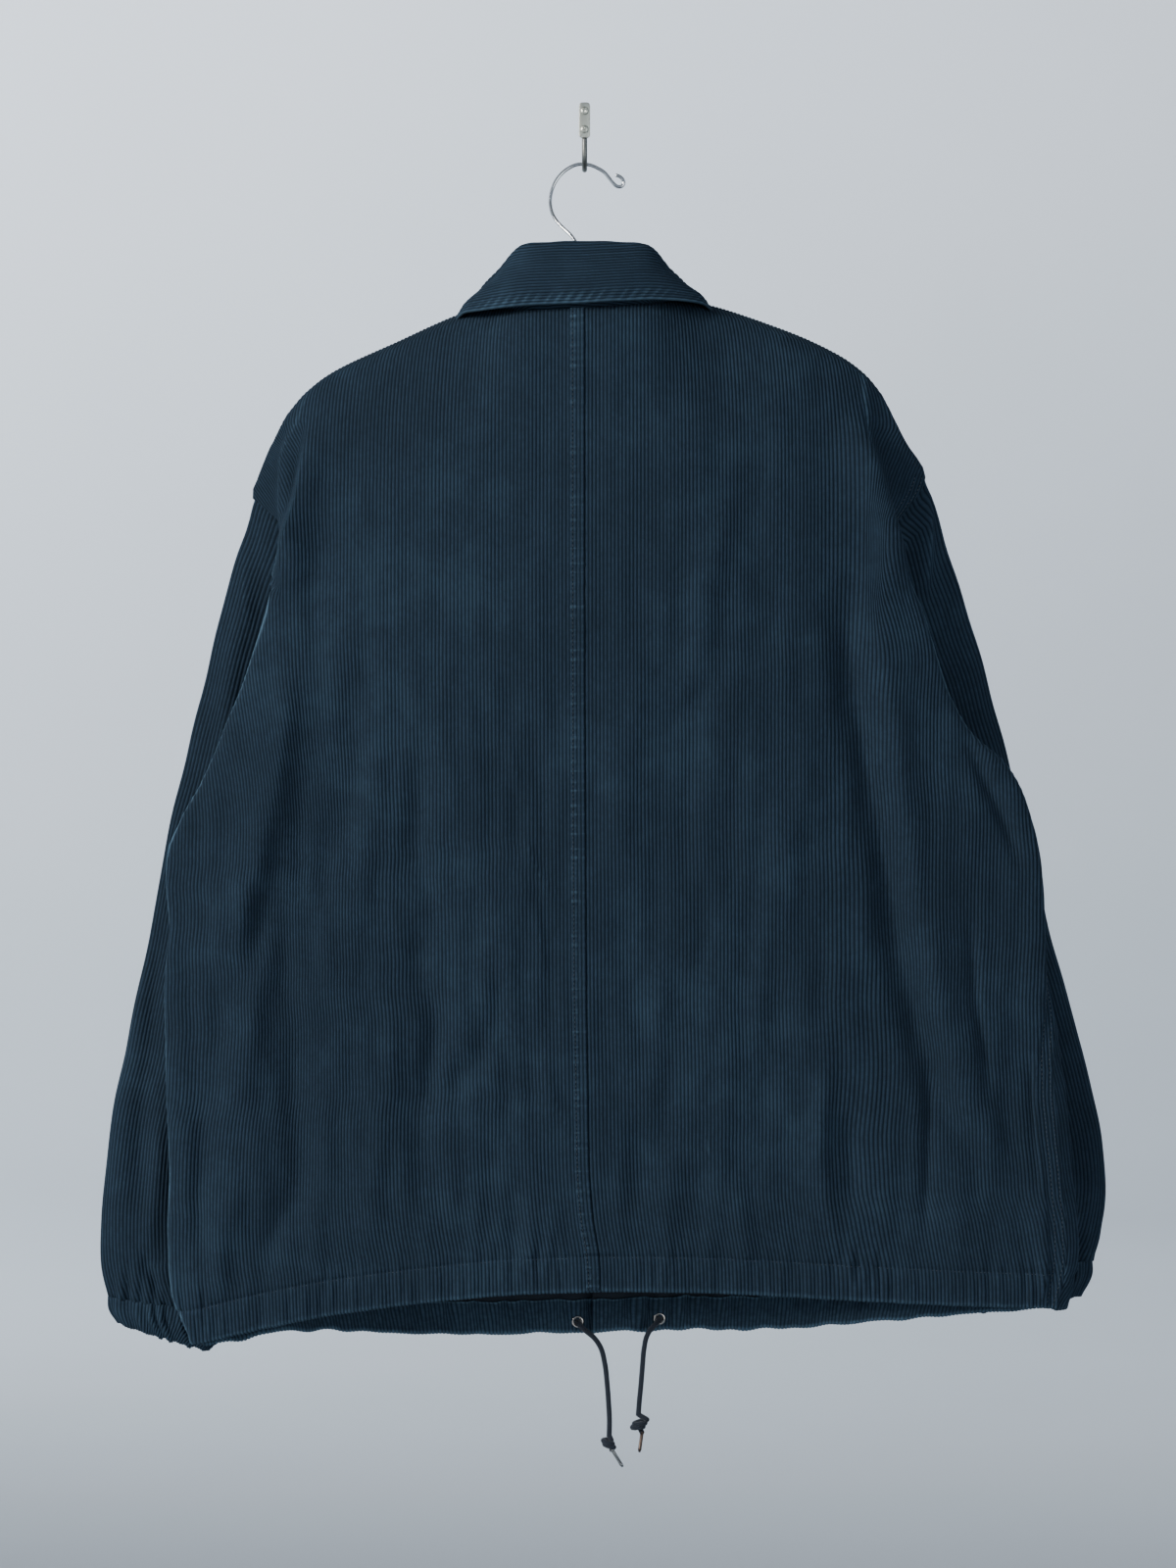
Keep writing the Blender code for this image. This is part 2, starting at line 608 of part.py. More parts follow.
def clear_of_armhole(sleeve, body_inner, gap):
    """The sleeve's first ring, drawn back until its cloth clears the body's cloth at the seam."""
    sleeve = sleeve.copy()
    seam = np.roll(sleeve[0, :-1], -1, axis=0) - np.roll(sleeve[0, :-1], 1, axis=0)
    seam = np.concatenate([seam, seam[:1]])
    seam /= np.linalg.norm(seam, axis=1, keepdims=True)
    into_sleeve = sleeve[1] - sleeve[0]
    across = [way - (way * seam).sum(1, keepdims=True) * seam for way in (into_sleeve, body_inner - sleeve[0])]
    sizes = [np.linalg.norm(way, axis=1) for way in across]
    cosine = (across[0] * across[1]).sum(1) / sizes[0] / sizes[1]
    half_angle = np.arccos(np.clip(cosine, -1, 1)) / 2
    back = gap + CLOTH / 2 / np.tan(np.clip(half_angle, 0.2, math.pi / 2))
    sleeve[0] += into_sleeve * np.minimum(back / sizes[0], 0.8)[:, None]
    return sleeve


def casing_grid(panel, hem, inward, width=CASING_HEIGHT):
    """The turned-up hem: the panel's lowest stretch, moved to its inner face."""
    rows = []
    places, drops = np.array(hem, float).T
    for share in (1.0, 0.5, 0.0):
        row = []
        for column in panel.transpose(1, 0, 2):
            edge = curve_at(places, drops, column[-1:, 0])[0]
            row.append(curve_at(column[-5:, 2], column[-5:], [edge - 0.6 - share * width])[0])
        rows.append(row)
    return moved_out(np.array(rows), inward)


def collar_grid():
    """The collar's folded cloth: up from the neck seam, over the roll line and down to the fall's edge."""
    stations = np.array(COLLAR, float)
    shares = np.linspace(0, 1, 25)
    neck, roll, fall = (along_with(stations[:, k], stations[:, 1], shares) for k in range(3))
    out = fall - roll
    out[:, 2] = 0
    out /= np.linalg.norm(out, axis=1, keepdims=True)
    lift = np.array([0, 0, 1.0])
    neck = neck - (0, 0, COLLAR_LIFT)
    half = 3.2  # half the space between the stand and the fall at the roll
    rows = [
        neck,
        neck + (roll - neck) * 0.5 - out * 0.6,
        roll - out * half + lift * 5,
        roll - out * half * 0.7 + lift * 1.2,
        roll,
        roll + out * half * 0.7 + lift * 1.2,
        roll + out * (half + 0.6) + lift * 5,
        roll + (fall - roll) * 0.55 + out * 3.2,
        fall,
    ]
    return np.array(rows)


def along_with(points, guide, shares):
    """A smooth curve through points, spaced as the guide's points are along it."""
    steps = np.linalg.norm(np.diff(guide, axis=0), axis=1)
    reached = np.concatenate([[0], np.cumsum(steps)])
    return curve_at(reached / reached[-1], points, shares)


def make_side(side, collection, cutters):
    """The panels, sleeve, cuff, casings and eyelet of one side."""
    back, front = back_grid(side), front_grid(side)
    cloth(f"back_{side.name}", pulled_in(back, SEAM / 2, SIDE_SEAM, FOLDED_SEAM), collection)
    cloth(f"front_{side.name}", pulled_in(front, SIDE_SEAM, 0, FOLDED_SEAM), collection)
    shoulder, underarm = armhole_rows(side)
    sleeve = sleeve_grid(side, back, front)
    body_inner = np.concatenate([back[shoulder : underarm + 1, -2], front[shoulder:underarm, 1][::-1]])
    sleeve = clear_of_armhole(sleeve, body_inner, FOLDED_SEAM)
    sleeve = pulled_in(sleeve, bottom=SEAM)
    cloth(f"sleeve_{side.name}", sleeve, collection, tube=True)
    cuff = np.array([ring_points(ring, 20) for ring in side.cuff])
    cloth(f"cuff_{side.name}", pulled_in(cuff, top=SEAM), collection, tube=True)
    back_casing = casing_grid(pulled_in(back[:, :-CASING_SHORT], 1.0), BACK_HEM, -PLY_GAP)
    cloth(f"back_casing_{side.name}", back_casing, collection)
    front_casing = casing_grid(pulled_in(front[:, CASING_SHORT:], 0, 1.0), FRONT_HEM, PLY_GAP)
    casing = cloth(f"front_casing_{side.name}", front_casing, collection)
    make_eyelet(side.name, casing, collection, cutters)
    if side.sign < 0:
        fell = fell_grid(back)
        cloth("centre_seam_fell", fell, collection, thickness=FELL_CLOTH)


def fell_grid(back):
    """The raised strip on the left back half beside the centre seam."""
    strip = []
    for row in back[1:]:
        out = np.abs(row[:, 0] - row[0, 0])
        strip.append(curve_at(out[:4], row[:4], (1.0, FELL_WIDTH)))
    return moved_out(np.array(strip), CLOTH / 2 + FELL_CLOTH / 2 + SEAM)


def make_eyelet(name, casing, collection, cutters):
    """A turned metal ring on the casing, and the hole that it lines."""
    place = EYELETS[name]
    profile = bmesh.new()
    outline = (
        (EYELET_HOLE, 0), (EYELET_RADIUS, 0), (EYELET_RADIUS, 0.35), (3.9, 0.85),
        (3.2, EYELET_DEPTH), (2.6, 0.85), (EYELET_HOLE, 0.4),
    )
    corners = [profile.verts.new((r * MM, 0, h * MM)) for r, h in outline[::-1]]
    for start, end in zip(corners, corners[1:] + corners[:1], strict=True):
        profile.edges.new((start, end))
    data = bpy.data.meshes.new(f"eyelet_{name}")
    profile.to_mesh(data)
    profile.free()
    ring = add_object(f"eyelet_{name}", data, NICKEL, collection)
    turn = ring.modifiers.new("turn", "SCREW")
    turn.steps = turn.render_steps = 20
    turn.use_merge_vertices = True
    turn.merge_threshold = 0.00001
    ring.rotation_euler.x = math.pi / 2
    ring.location = in_metres([place])[0]
    cutter = disc(
        f"cutter_{name}", Point(place.x, place.y + 3, place.drop), EYELET_HOLE, 6, ZINC, cutters, sides=16
    )
    cutter.hide_render = True
    cutter.display_type = "WIRE"
    hole = casing.modifiers.new("hole", "BOOLEAN")
    hole.object = cutter


def make_snaps(collection):
    """The caps that close the fronts, on the outer face of the left front, towards the wall."""
    for number, drop in enumerate(SNAP_DROPS, 1):
        face = FRONT_OUTER_Y + CLOTH / 2 + SEAM
        disc(
            f"snap_{number}", Point(FRONT_CENTRE, face + SNAP_DEPTH, drop), SNAP_RADIUS, SNAP_DEPTH,
            SNAP_FINISH, collection, rim=0.8, sides=18,
        )


def make_drawstring(collection):
    """The drawstring's two free ends, each with its knot and metal tip."""
    for name, route in CORD_ROUTES.items():
        tube(f"drawstring_{name}", route, CORD_DIAMETER, CORD_FINISH, collection, spacing=1.6)
        middle, radius = KNOTS[name]
        knot = bmesh.new()
        bmesh.ops.create_uvsphere(knot, u_segments=12, v_segments=8, radius=radius * MM)
        bmesh.ops.scale(knot, vec=(1.15, 0.8, 0.9), verts=knot.verts)
        data = bpy.data.meshes.new(f"knot_{name}")
        knot.to_mesh(data)
        knot.free()
        made = add_object(f"knot_{name}", data, CORD_FINISH, collection)
        made.location = in_metres([middle])[0]
        tube(f"tip_{name}", TIPS[name], TIP_DIAMETER, BRONZE, collection)


def make_hanger(collection):
    """The hanger's bar in the shoulders and its wire hook."""
    tube("hanger_hook", WIRE_ROUTE, WIRE_DIAMETER, CHROME, collection, spacing=1.5, resolution=3)
    tube("hanger_bar", BAR_ROUTE, BAR_DIAMETER, HANGER_FINISH, collection, spacing=1.9, resolution=3)


def make_wall_hook(collection):
    """The plate on the wall, its two screws and the bent rod."""
    plate = bmesh.new()
    bmesh.ops.create_cube(plate, size=1)
    bmesh.ops.scale(plate, vec=(PLATE_WIDTH * MM, PLATE_DEPTH * MM, PLATE_HEIGHT * MM), verts=plate.verts)
    data = bpy.data.meshes.new("hook_plate")
    plate.to_mesh(data)
    plate.free()
    made = add_object("hook_plate", data, ZINC, collection)
    made.location.y = -PLATE_DEPTH * MM / 2
    for name, drop in SCREW_DROPS.items():
        place = Point(0, -PLATE_DEPTH - 0.05, drop)
        disc(f"screw_{name}", place, SCREW_RADIUS, SCREW_DEPTH, ZINC, collection, rim=0.6)
    low = 28.0
    leg = [Point(0, -ROD_Y, drop) for drop in (PLATE_HEIGHT / 2 + SEAM, 18, 23)]
    turns = np.linspace(0, math.pi, 9)
    bend = [
        Point(0, -ROD_Y - ROD_BEND * (1 - math.cos(turn)), low + ROD_BEND * math.sin(turn)) for turn in turns
    ]
    prong = [Point(0, -ROD_Y - 2 * ROD_BEND, drop) for drop in (23, 18.4)]
    tube("hook_rod", leg + bend + prong, ROD_DIAMETER, ZINC, collection, spacing=0.9, resolution=3)


def main():
    for leftover in list(bpy.data.objects):
        bpy.data.objects.remove(leftover, do_unlink=True)
    collection = bpy.data.collections.new(OBJECT_NAME)
    cutters = bpy.data.collections.new("cutters")
    for made in (collection, cutters):
        bpy.context.scene.collection.children.link(made)
    for side in (LEFT, RIGHT):
        make_side(side, collection, cutters)
    cloth("collar", pulled_in(collar_grid(), top=SEAM), collection, thickness=COLLAR_CLOTH)
    make_snaps(collection)
    make_drawstring(collection)
    make_hanger(collection)
    make_wall_hook(collection)


main()
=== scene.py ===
"""Coach jacket of wide-wale corduroy, hung by its hanger on a small wall hook, its back to the viewer.

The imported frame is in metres; sizes here are in millimetres unless a name says otherwise. +Z is up, +X is
to the right for a viewer who faces the back of the jacket, and the wall is the plane y = 0. A drop is a
distance below the origin, the middle of the wall hook's plate.
"""

from __future__ import annotations

import json
import logging
import math
from collections.abc import Callable, Sequence
from dataclasses import dataclass, field
from enum import Enum
from typing import Any, NamedTuple

import bmesh
import bpy
import numpy as np
from mathutils import Matrix, Vector

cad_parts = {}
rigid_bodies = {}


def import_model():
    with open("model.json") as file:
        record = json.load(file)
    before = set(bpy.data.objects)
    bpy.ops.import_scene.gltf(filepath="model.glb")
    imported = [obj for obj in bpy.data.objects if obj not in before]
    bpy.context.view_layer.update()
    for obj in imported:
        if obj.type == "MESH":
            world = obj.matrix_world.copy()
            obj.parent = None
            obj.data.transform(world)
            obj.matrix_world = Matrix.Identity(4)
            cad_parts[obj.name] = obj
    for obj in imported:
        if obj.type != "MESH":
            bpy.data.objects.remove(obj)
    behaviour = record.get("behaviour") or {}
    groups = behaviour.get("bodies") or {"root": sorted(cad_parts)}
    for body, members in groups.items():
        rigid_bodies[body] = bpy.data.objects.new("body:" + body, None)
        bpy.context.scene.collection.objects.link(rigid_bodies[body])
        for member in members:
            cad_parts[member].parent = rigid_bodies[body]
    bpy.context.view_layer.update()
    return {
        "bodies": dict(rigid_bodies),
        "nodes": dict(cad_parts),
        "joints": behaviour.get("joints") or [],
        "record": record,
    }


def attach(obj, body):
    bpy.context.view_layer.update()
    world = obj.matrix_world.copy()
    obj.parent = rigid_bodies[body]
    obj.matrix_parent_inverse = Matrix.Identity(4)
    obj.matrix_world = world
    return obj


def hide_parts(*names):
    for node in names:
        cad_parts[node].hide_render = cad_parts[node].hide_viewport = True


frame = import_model()

LOG = logging.getLogger("coach_jacket")
MM = 0.001
BODY = "root"
CLOTH_DATA = "cloth"   # vertex attribute: place across the wales, place along them, wear and painted light

# Cloth
PITCH = 2.75           # from wale to wale
STEPS = 4              # columns of a wale
INNER_FACE = 0.7       # from the cloth's middle to its smooth inner face
GROUND = 0.3           # from the cloth's middle to the bottom of a groove between wales
WALE = 0.75            # height of a wale
PLY_GAP = 2.4
CASING_HEIGHT = 25.0
FELL_WIDTH = 10.2
PLACKET = 34.0         # from a front's edge to its line of stitches
CASING_STITCH = 25.2   # height of the hem's stitches
SIDE_STITCHES = (3.0, 9.0)    # from the right half's edge to its stitches
COLLAR_STITCH = 7.2    # from the collar's edge to its stitches

# Front
FRONT_CENTRE = 26.0
OVERLAP = 40.0
FRONT_OUTER_Y = -8.3
FRONT_INNER_Y = -12.9
SIDE_PUSH = 34.0       # how far a front is pushed out behind the sleeves

# Drawstring
CORD_DIAMETER = 4.1
TIP_DIAMETER = 2.6
KNOT_RADIUS = 2.9
KNOT_TURNS = 2.15

HOLD_Y = -44.0         # where the hanger's bar carries the shoulders
OUT_OF_WALL = (0, -1, 0)
TINY = 1e-9
FAR = 1e9

Numbers = np.ndarray
Line = tuple[Numbers, Numbers]         # points and the normals there
Row = list[tuple[float, ...]]          # (x, y, drop) places
Triple = tuple[float, float, float]


class Facing(Enum):
    """Which way a sheet's ribbed outer face looks."""

    VIEWER = "viewer"
    WALL = "wall"
    OUTWARD = "outward"


class Measure(Enum):
    """How the distance from wale to wale is taken along a row."""

    LEVEL = "level"    # along the row as seen from above, so that wales stay upright
    TRUE = "true"


class Point(NamedTuple):
    """A place on a seam or an outline."""

    x: float
    y: float
    drop: float


class CentreRow(NamedTuple):
    """The centre back seam at one height."""

    drop: float
    x: float
    y: float


class SideRow(NamedTuple):
    """One side of the body at one height: the back's side fold and the two panels' edges."""

    drop: float
    fold_x: float
    fold_y: float
    rise: float
    back_x: float
    back_y: float
    front_x: float
    front_y: float
    turn_x: float
    turn_y: float


class SleeveRing(NamedTuple):
    """A flattened ring of a sleeve or cuff, from its outer to its inner edge."""

    outer_x: float
    outer_drop: float
    inner_x: float
    inner_drop: float
    middle_y: float
    depth: float


class CollarStation(NamedTuple):
    """The collar at one place round the neck, each line as (x, y, drop)."""

    neck: Triple
    roll: Triple
    fall: Triple


class Crease(NamedTuple):
    """A soft ridge (height above 0) or trough in hanging cloth, along (x, drop) places."""

    line: tuple[tuple[float, float], ...]
    height: float
    left: float     # how far it reaches to its left
    right: float    # and to its right
    # how much lighter its line is: mostly painted highlight on a ridge's crest, in places a worn spot
    worn_and_lit: float = 0.0


class Cut(NamedTuple):
    """A cloth piece laid flat: width and length in metres, area in square metres."""

    width: float
    length: float
    area: float


class Side(NamedTuple):
    """Everything that differs between the jacket's two sides."""

    name: str
    sign: int
    neck: tuple[Point, ...]
    shoulder: tuple[Point, ...]
    front_neck: tuple[Point, ...]
    rows: tuple[SideRow, ...]
    armhole: tuple[float, float]
    rings: tuple[SleeveRing, ...]
    cuff: tuple[SleeveRing, ...]
    front_edge: float
    front_y: float
    back_creases: tuple[Crease, ...]
    front_creases: tuple[Crease, ...]
    sleeve_creases: tuple[Crease, ...]


def table(kind: Callable[..., Any], *rows: Sequence[Any]) -> tuple[Any, ...]:
    """Rows of numbers as named rows of one kind."""
    return tuple(kind(*row) for row in rows)


CENTRE = table(
    CentreRow,
    (157, 0.4, -78), (200, 0.4, -84), (262, 0.4, -90), (350, 0.4, -93), (450, 0.6, -92), (577, 1.2, -88),
    (721, 2.6, -80), (829, 6.9, -73), (858, 11.2, -71), (880, 12.0, -70),
)

LEFT = Side(
    name="left", sign=-1,
    neck=table(Point, (0.4, -78, 154), (-45, -72, 155), (-84, HOLD_Y, 151)),
    shoulder=table(
        Point,
        (-104, HOLD_Y, 160), (-140, HOLD_Y, 175), (-174, HOLD_Y, 190), (-198, HOLD_Y, 204),
        (-214, HOLD_Y, 219), (-225.5, HOLD_Y, 234),
    ),
    front_neck=table(Point, (26, -9, 222), (-45, -15, 205), (-78, -30, 172), (-84, HOLD_Y, 151)),
    rows=table(
        SideRow,
        (262, -224, -58, 7, -239, -42, -239, -42, -236, -31),
        (277, -224.2, -60, 7, -245, -40, -245, -40, -241, -30),
        (291, -224.5, -62, 7, -248.5, -38, -248.5, -38, -244, -29),
        (299, -224.5, -63, 7, -238, -44, -238, -29, -233, -22),
        (309, -224, -63, 7, -227, -47, -229, -21, -223, -16),
        (330, -223, -64, 7, -219, -47, -220, -14, -213, -11),
        (365, -232, -65, 7, -218, -46, -215, -11, -208, -10),
        (405, -244, -66, 7, -222, -45, -214, -11, -207, -10),
        (440, -255, -66, 7, -229, -44, -217, -12, -210, -11),
        (475, -269, -66, 7, -239, -43, -224, -16, -216, -16),
        (505, -284, -66, 7, -249, -42, -235, -24, -227, -25),
        (530, -298, -66, 7, -257, -41, -249, -33, -240, -36),
        (548, -307, -66, 7, -262, -41, -262, -41, -252, -43),
        (575, -310, -64, 7, -268, -42, -268, -42, -258, -44),
        (610, -307, -63, 7, -274, -43, -274, -43, -264, -44),
        (650, -311, -62, 7, -280, -43, -280, -43, -270, -44),
        (720, -310, -60, 7, -288, -44, -288, -44, -278, -44),
        (800, -308, -58, 7, -294, -44, -294, -44, -284, -43),
        (850, -309, -57, 7, -298, -45, -298, -45, -288, -43),
        (886, -306, -56, 6, -297, -45, -297, -45, -288, -43),
        (922, -292, -55, 5, -286, -46, -286, -46, -278, -43),
    ),
    armhole=(291, 548),
    rings=table(
        SleeveRing,
        (-333, 640, -216, 648, -20, 26), (-341, 682, -218, 688, -20, 27), (-350, 728, -225, 732, -20, 27),
        (-359, 780, -233, 784, -20, 26), (-364.5, 835, -240, 842, -20, 26),
        (-364, 868, -250, 880, -20, 24), (-359, 892, -266, 903, -20, 20),
    ),
    cuff=table(
        SleeveRing,
        (-359, 892, -266, 903, -20, 20), (-358, 901, -271, 918, -20, 21), (-352, 911, -284, 932, -20, 18),
    ),
    front_edge=FRONT_CENTRE + OVERLAP / 2, front_y=FRONT_OUTER_Y,
    back_creases=table(
        Crease,
        (((-213, 385), (-221, 459), (-228, 507), (-239, 556), (-252, 600), (-262, 637), (-274, 676)),
          5.5, 26, 11),
        (((-232, 600), (-239, 644), (-250, 710), (-254, 770)), 3.0, 13, 10),
        (((-214, 663), (-216, 718), (-212, 777), (-220, 821), (-237, 848), (-250, 866)), -3.2, 11, 12),
        (((-158, 379), (-167, 452), (-169, 493), (-182, 556), (-178, 600)), -1.8, 12, 9),
        (((-123, 440), (-120, 507), (-123, 563), (-112, 600), (-120, 644), (-108, 691), (-123, 747),
          (-115, 791), (-104, 828), (-104, 868)), -2.6, 14, 9),
        (((-64, 640), (-75, 703), (-101, 732), (-124, 752)), -2.0, 12, 9),
        (((-58, 468), (-46, 512)), 0.8, 4, 3, 0.25),
        (((-49, 538), (-34, 570), (-18, 594)), 1.0, 4, 3, 0.35),
        (((-38, 585), (-33, 620), (-29, 652)), 0.7, 4, 3, 0.25),
        (((-30, 722), (-5, 775)), 0.9, 5, 4, 0.3),
        (((-141, 274), (-122, 278), (-104, 280)), 0.8, 4, 4, 0.2),
        (((-201, 232), (-205, 255), (-208, 270), (-212, 294), (-217, 315), (-223, 340), (-229, 362),
          (-234, 384)), 4.6, 3, 15, 0.3),
        (((-224, 240), (-223.5, 262), (-222.5, 290), (-221.5, 312), (-221, 336)), 3.6, 2.4, 8, 0.2),
        (((-190, 300), (-196, 350), (-199, 400), (-196, 440)), -2.2, 12, 12),
        (((-150, 760), (-160, 810), (-158, 860)), 1.6, 12, 12),
        (((-60, 790), (-52, 830), (-58, 866)), -1.4, 10, 8),
        (((-290, 700), (-284, 760), (-286, 820), (-280, 880)), -2.0, 8, 10),
        (((-262, 800), (-270, 850), (-272, 890)), 1.6, 9, 9),
    ),
    front_creases=table(
        Crease,
        (((-170, 320), (-150, 480), (-140, 640), (-150, 800)), 3.0, 22, 18),
        (((-95, 300), (-80, 460), (-88, 600)), -2.4, 20, 14),
        (((-40, 560), (-30, 700), (-36, 860)), 2.2, 18, 14),
        (((-205, 560), (-212, 700), (-208, 860)), -3.0, 16, 16),
        (((-118, 640), (-112, 760), (-120, 880)), -2.4, 14, 14),
        (((-190, 380), (-176, 460), (-186, 540)), 1.8, 9, 12),
    ),
    sleeve_creases=table(
        Crease,
        (((-250, 330), (-262, 400), (-272, 480), (-290, 560), (-304, 640)), 2.4, 8, 8),
        (((-255, 322), (-256, 345), (-254, 376), (-251, 400)), 1.2, 2.5, 5, 0.3),
        (((-315, 560), (-325, 660), (-334, 760), (-338, 850)), -2.4, 7, 9),
        (((-345, 700), (-352, 780), (-352, 870)), 1.8, 6, 7),
        (((-318, 740), (-322, 800), (-330, 872)), 2.6, 6, 6),
        (((-300, 700), (-300, 790), (-312, 880)), -2.4, 8, 8),
        (((-268, 660), (-262, 760), (-278, 870)), 2.0, 12, 10),
        (((-334, 856), (-326, 876), (-318, 893)), -3.0, 4, 4),
    ),
)

RIGHT = Side(
    name="right", sign=1,
    neck=table(Point, (0.4, -78, 154), (48, -72, 149.9), (88, HOLD_Y, 146.2)),
    shoulder=table(
        Point,
        (106, HOLD_Y, 152), (132, HOLD_Y, 160), (171, HOLD_Y, 175), (198, HOLD_Y, 190),
        (214.5, HOLD_Y, 204), (225, HOLD_Y, 219),
    ),
    front_neck=table(Point, (26, -13.4, 222), (70, -16, 200), (88, -30, 168), (88, HOLD_Y, 146.2)),
    rows=table(
        SideRow,
        (250, 212, -58, 7, 241, -42, 241, -42, 238, -31),
        (275, 219, -61, 7, 255.5, -38, 255.5, -38, 250, -29),
        (288, 222, -62, 7, 250, -43, 245, -29, 240, -22),
        (299, 224.5, -62, 7, 241, -46, 236, -21, 230, -16),
        (312, 227, -63, 7, 231, -47, 229, -15, 222, -12),
        (338, 234, -64, 7, 225, -47, 222, -13, 215, -13),
        (374, 249, -65, 7, 227, -46, 220, -13, 213, -13),
        (410, 260.5, -66, 7, 233, -45, 225, -14, 218, -14),
        (445, 273, -66, 7, 243, -44, 234, -18, 226, -19),
        (470, 289, -66, 7, 254, -43, 245, -25, 236, -27),
        (490, 312, -66, 7, 266, -42, 259, -33, 249, -36),
        (510, 323, -66, 7, 278, -41, 278, -41, 268, -43),
        (541, 333, -64, 7, 287, -42, 287, -42, 277, -44),
        (575, 338, -63, 7, 299, -44, 299, -44, 289, -45),
        (620, 341, -62, 7, 324, -49, 324, -49, 314, -46),
        (660, 341, -65, 4, 346, -57, 346, -57, 342, -49),
        (720, 333, -67, 1, 348, -64, 348, -64, 355, -57),
        (800, 339, -65, 1, 355, -62, 355, -62, 363, -55),
        (840, 342, -64, 1, 358, -61, 358, -61, 367, -54),
        (870, 341, -63, 1, 357, -60, 357, -60, 366, -53),
        (895, 336, -62, 1, 351, -59, 351, -59, 359, -52),
    ),
    armhole=(275, 510),
    rings=table(
        SleeveRing,
        (352, 620, 238, 628, -21, 26), (365.5, 668, 244, 672, -20, 27), (378, 720, 256, 722, -20, 27),
        (389.5, 775, 269, 778, -20, 26), (393.5, 812, 278, 816, -20, 26), (390, 838, 284, 846, -20, 24),
        (382, 864, 293, 874, -20, 20),
    ),
    cuff=table(
        SleeveRing,
        (382, 864, 293, 874, -20, 20), (381.5, 874, 293, 887, -20, 21), (374, 890.5, 299, 903, -20, 19),
    ),
    front_edge=FRONT_CENTRE - OVERLAP / 2, front_y=FRONT_INNER_Y,
    back_creases=table(
        Crease,
        (((196, 300), (196, 400), (204, 460), (212, 510), (222, 563), (231, 618), (244, 673), (256, 714),
          (270, 752), (290, 790), (312, 826)), -6.0, 15, 9),
        (((215, 298), (213, 356), (219, 400), (224, 437), (233, 482), (238, 526), (245, 563), (254, 618),
          (265, 673), (274, 714), (284, 747), (303, 782), (323, 817), (340, 843)), 2.6, 8, 14),
        (((203, 222), (206.5, 249), (214.5, 277), (222, 302), (229, 329), (242, 368)), 5.0, 15, 3.4, 0.04),
        (((90, 766), (91.5, 773), (90, 780)), 0.4, 3, 3, 0.5),
        (((284, 600), (288, 640), (290, 670), (296, 708), (300, 745)), -2.2, 6, 4),
        (((253, 705), (255, 745), (255, 777), (253, 846)), -2.4, 6, 4),
        (((178, 712), (174, 765), (178, 806), (186, 860)), 2.4, 8, 7),
        (((192, 740), (197, 790), (196, 830)), -2.4, 8, 9),
        (((110, 290), (91, 360), (87, 408), (80, 450)), 1.3, 11, 9),
        (((98, 430), (72, 452), (60, 470)), -0.9, 8, 8),
        (((280, 462), (295, 500), (306, 522), (317, 547), (326, 577)), -3.4, 6, 5),
        (((342, 610), (344, 640), (344, 672)), 1.4, 4, 4),
        (((40, 745), (42, 790), (36, 830)), -1.8, 12, 10),
        (((84, 780), (80, 810), (88, 850)), -1.6, 12, 12),
        (((106, 790), (118, 830), (124, 868)), 1.6, 10, 8),
        (((150, 500), (146, 600), (150, 690)), 1.2, 16, 14),
        (((40, 560), (36, 640), (30, 700)), -1.1, 14, 12),
        (((130, 240), (128, 330), (140, 420)), -1.0, 16, 14),
        (((280, 660), (286, 700), (300, 760), (322, 800)), 1.4, 9, 9),
        (((330, 700), (333, 760), (338, 830)), -1.4, 5, 5),
    ),
    front_creases=table(
        Crease,
        (((180, 330), (160, 480), (168, 640), (180, 820)), 3.0, 20, 18),
        (((110, 300), (100, 480), (112, 660)), -2.2, 18, 16),
        (((60, 540), (64, 700), (58, 860)), 2.2, 16, 16),
        (((230, 560), (240, 700), (236, 850)), -3.0, 16, 16),
        (((140, 640), (136, 760), (146, 870)), -2.2, 14, 12),
    ),
    sleeve_creases=table(
        Crease,
        (((262, 300), (280, 380), (304, 470), (322, 550), (342, 640)), 1.8, 8, 8),
        (((256, 280), (257.5, 309), (257, 337), (252.5, 376)), 4.0, 8, 2.6, 0.35),
        (((330, 560), (346, 660), (360, 760), (366, 840)), -2.2, 8, 8),
        (((372, 690), (382, 770), (380, 850)), 2.0, 6, 6),
        (((300, 640), (316, 740), (330, 850)), 2.4, 12, 10),
        (((352, 740), (362, 800), (362, 860)), 2.0, 5, 5),
    ),
)

BACK_HEM = (
    (-330, 926), (-290, 922), (-240, 909), (-184, 899), (-97, 887), (-13, 881.5), (42, 880.5),
    (148, 885), (256, 891), (355, 895), (400, 896),
)
FRONT_HEM = (
    (-330, 926), (-289, 925), (-271, 923), (-251, 919), (-233, 915.6), (-208, 916.5), (-170, 919.2),
    (-145, 921.4), (-89, 922), (6, 920), (91, 917), (162, 916), (225, 906), (262, 902.5), (297, 899.5),
    (345, 896.5), (400, 895),
)

